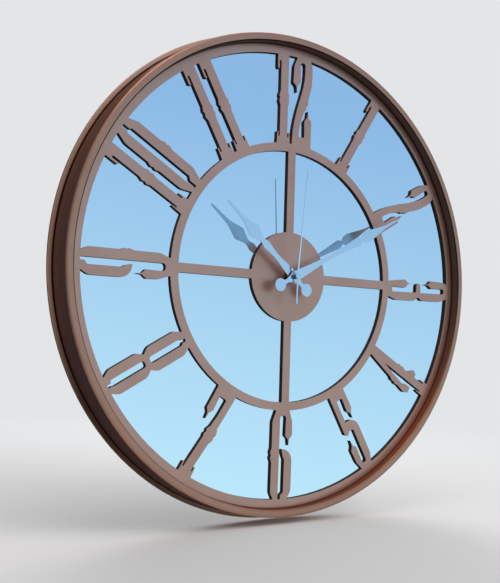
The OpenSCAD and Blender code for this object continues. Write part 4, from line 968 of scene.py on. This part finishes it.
cellLook = {
    "capMm": 2.75, "capTallMm": 1.3, "rollMm": 0.45,
    "footMm": ((2.2, 0), (1.9, 0.3), (1.2, 0.3), (0.9, 0)),  # in from the side, up from the flat end
    "ditchMm": (1.2, 0.5),  # in from the side, down from the shoulder
    "neckMm": ((0.6, 0.5), (0.3, 0.1), (0, 0)),  # out from the cap, down from the shoulder
    "noseMm": ((0, 0.35), (0.1, 0.1), (0.4, 0)),  # in from the cap's side, down from its top
}


def addCell(look):
    low, high = ([value / mm for value in corner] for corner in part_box("battery"))
    radius, length = (high[2] - low[2]) / 2, high[0] - low[0]
    shoulder, roll, cap = length - look["capTallMm"], look["rollMm"], look["capMm"]
    rolled = [(x + radius - roll, roll - y) for y, x in arc(roll, 0, 90, 6)]
    crimp = [(x + radius - roll, y + shoulder - roll) for x, y in arc(roll, 0, 150, 9)]
    foot = [(radius - inward, up) for inward, up in look["footMm"]]
    ditch = [(radius - look["ditchMm"][0], shoulder - look["ditchMm"][1])]
    neck = [(cap + outward, shoulder - down) for outward, down in look["neckMm"]]
    tip = [(cap - inward, length - down) for inward, down in look["noseMm"]]
    mesh = turned("cell", [(0, 0)] + foot + rolled + crimp + ditch + neck + tip + [(0, length)],
                  (low[0], (low[1] + high[1]) / 2, (low[2] + high[2]) / 2), alongX)
    mesh.materials.append(finishes["battery"])
    addPiece("cell", mesh, "cell_jacket", "battery")


arrowLook = {"innerMm": 7, "outerMm": 8, "proudMm": 0.3,
             "fromDeg": 20, "toDeg": 125, "headDeg": 16, "headMm": 0.9}


def addSettingArrows(look):
    knob = [(a + b) / 2 for a, b in zip(*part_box("setting_knob"))]
    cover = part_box("movement_cover")[1][1]
    inner, outer, barb = look["innerMm"], look["outerMm"], look["headMm"]
    start, end, tip = look["fromDeg"], look["toDeg"], look["toDeg"] + look["headDeg"]
    head = [arc(outer + barb, end, tip, 1)[0], arc((inner + outer) / 2, end, tip, 1)[1],
            arc(inner - barb, end, tip, 1)[0]]
    outline = arc(outer, start, end, 20) + head + arc(inner, end, start, 20)
    bm = bmesh.new()
    for turn in (0, math.pi):
        place = Matrix.Translation((knob[0], cover, knob[2])) @ alongBack @ Matrix.Rotation(turn, 4, "Z")
        bm.from_mesh(sheet("arrow", outline, look["proudMm"], place=place))
    mesh = toMesh(bm, "setting_arrows")
    mesh.materials.append(finishes["setting_knob"])
    addPiece("setting_arrows", mesh, "knob_plastic")


addBush(bushLook)
addSpringContact(springLook)
addCoil(coilLook)
addRetainingPoints(pointLook)
addCell(cellLook)
addSettingArrows(arrowLook)
print("small pieces made")

bpy.context.scene.view_settings.view_transform = "Standard"
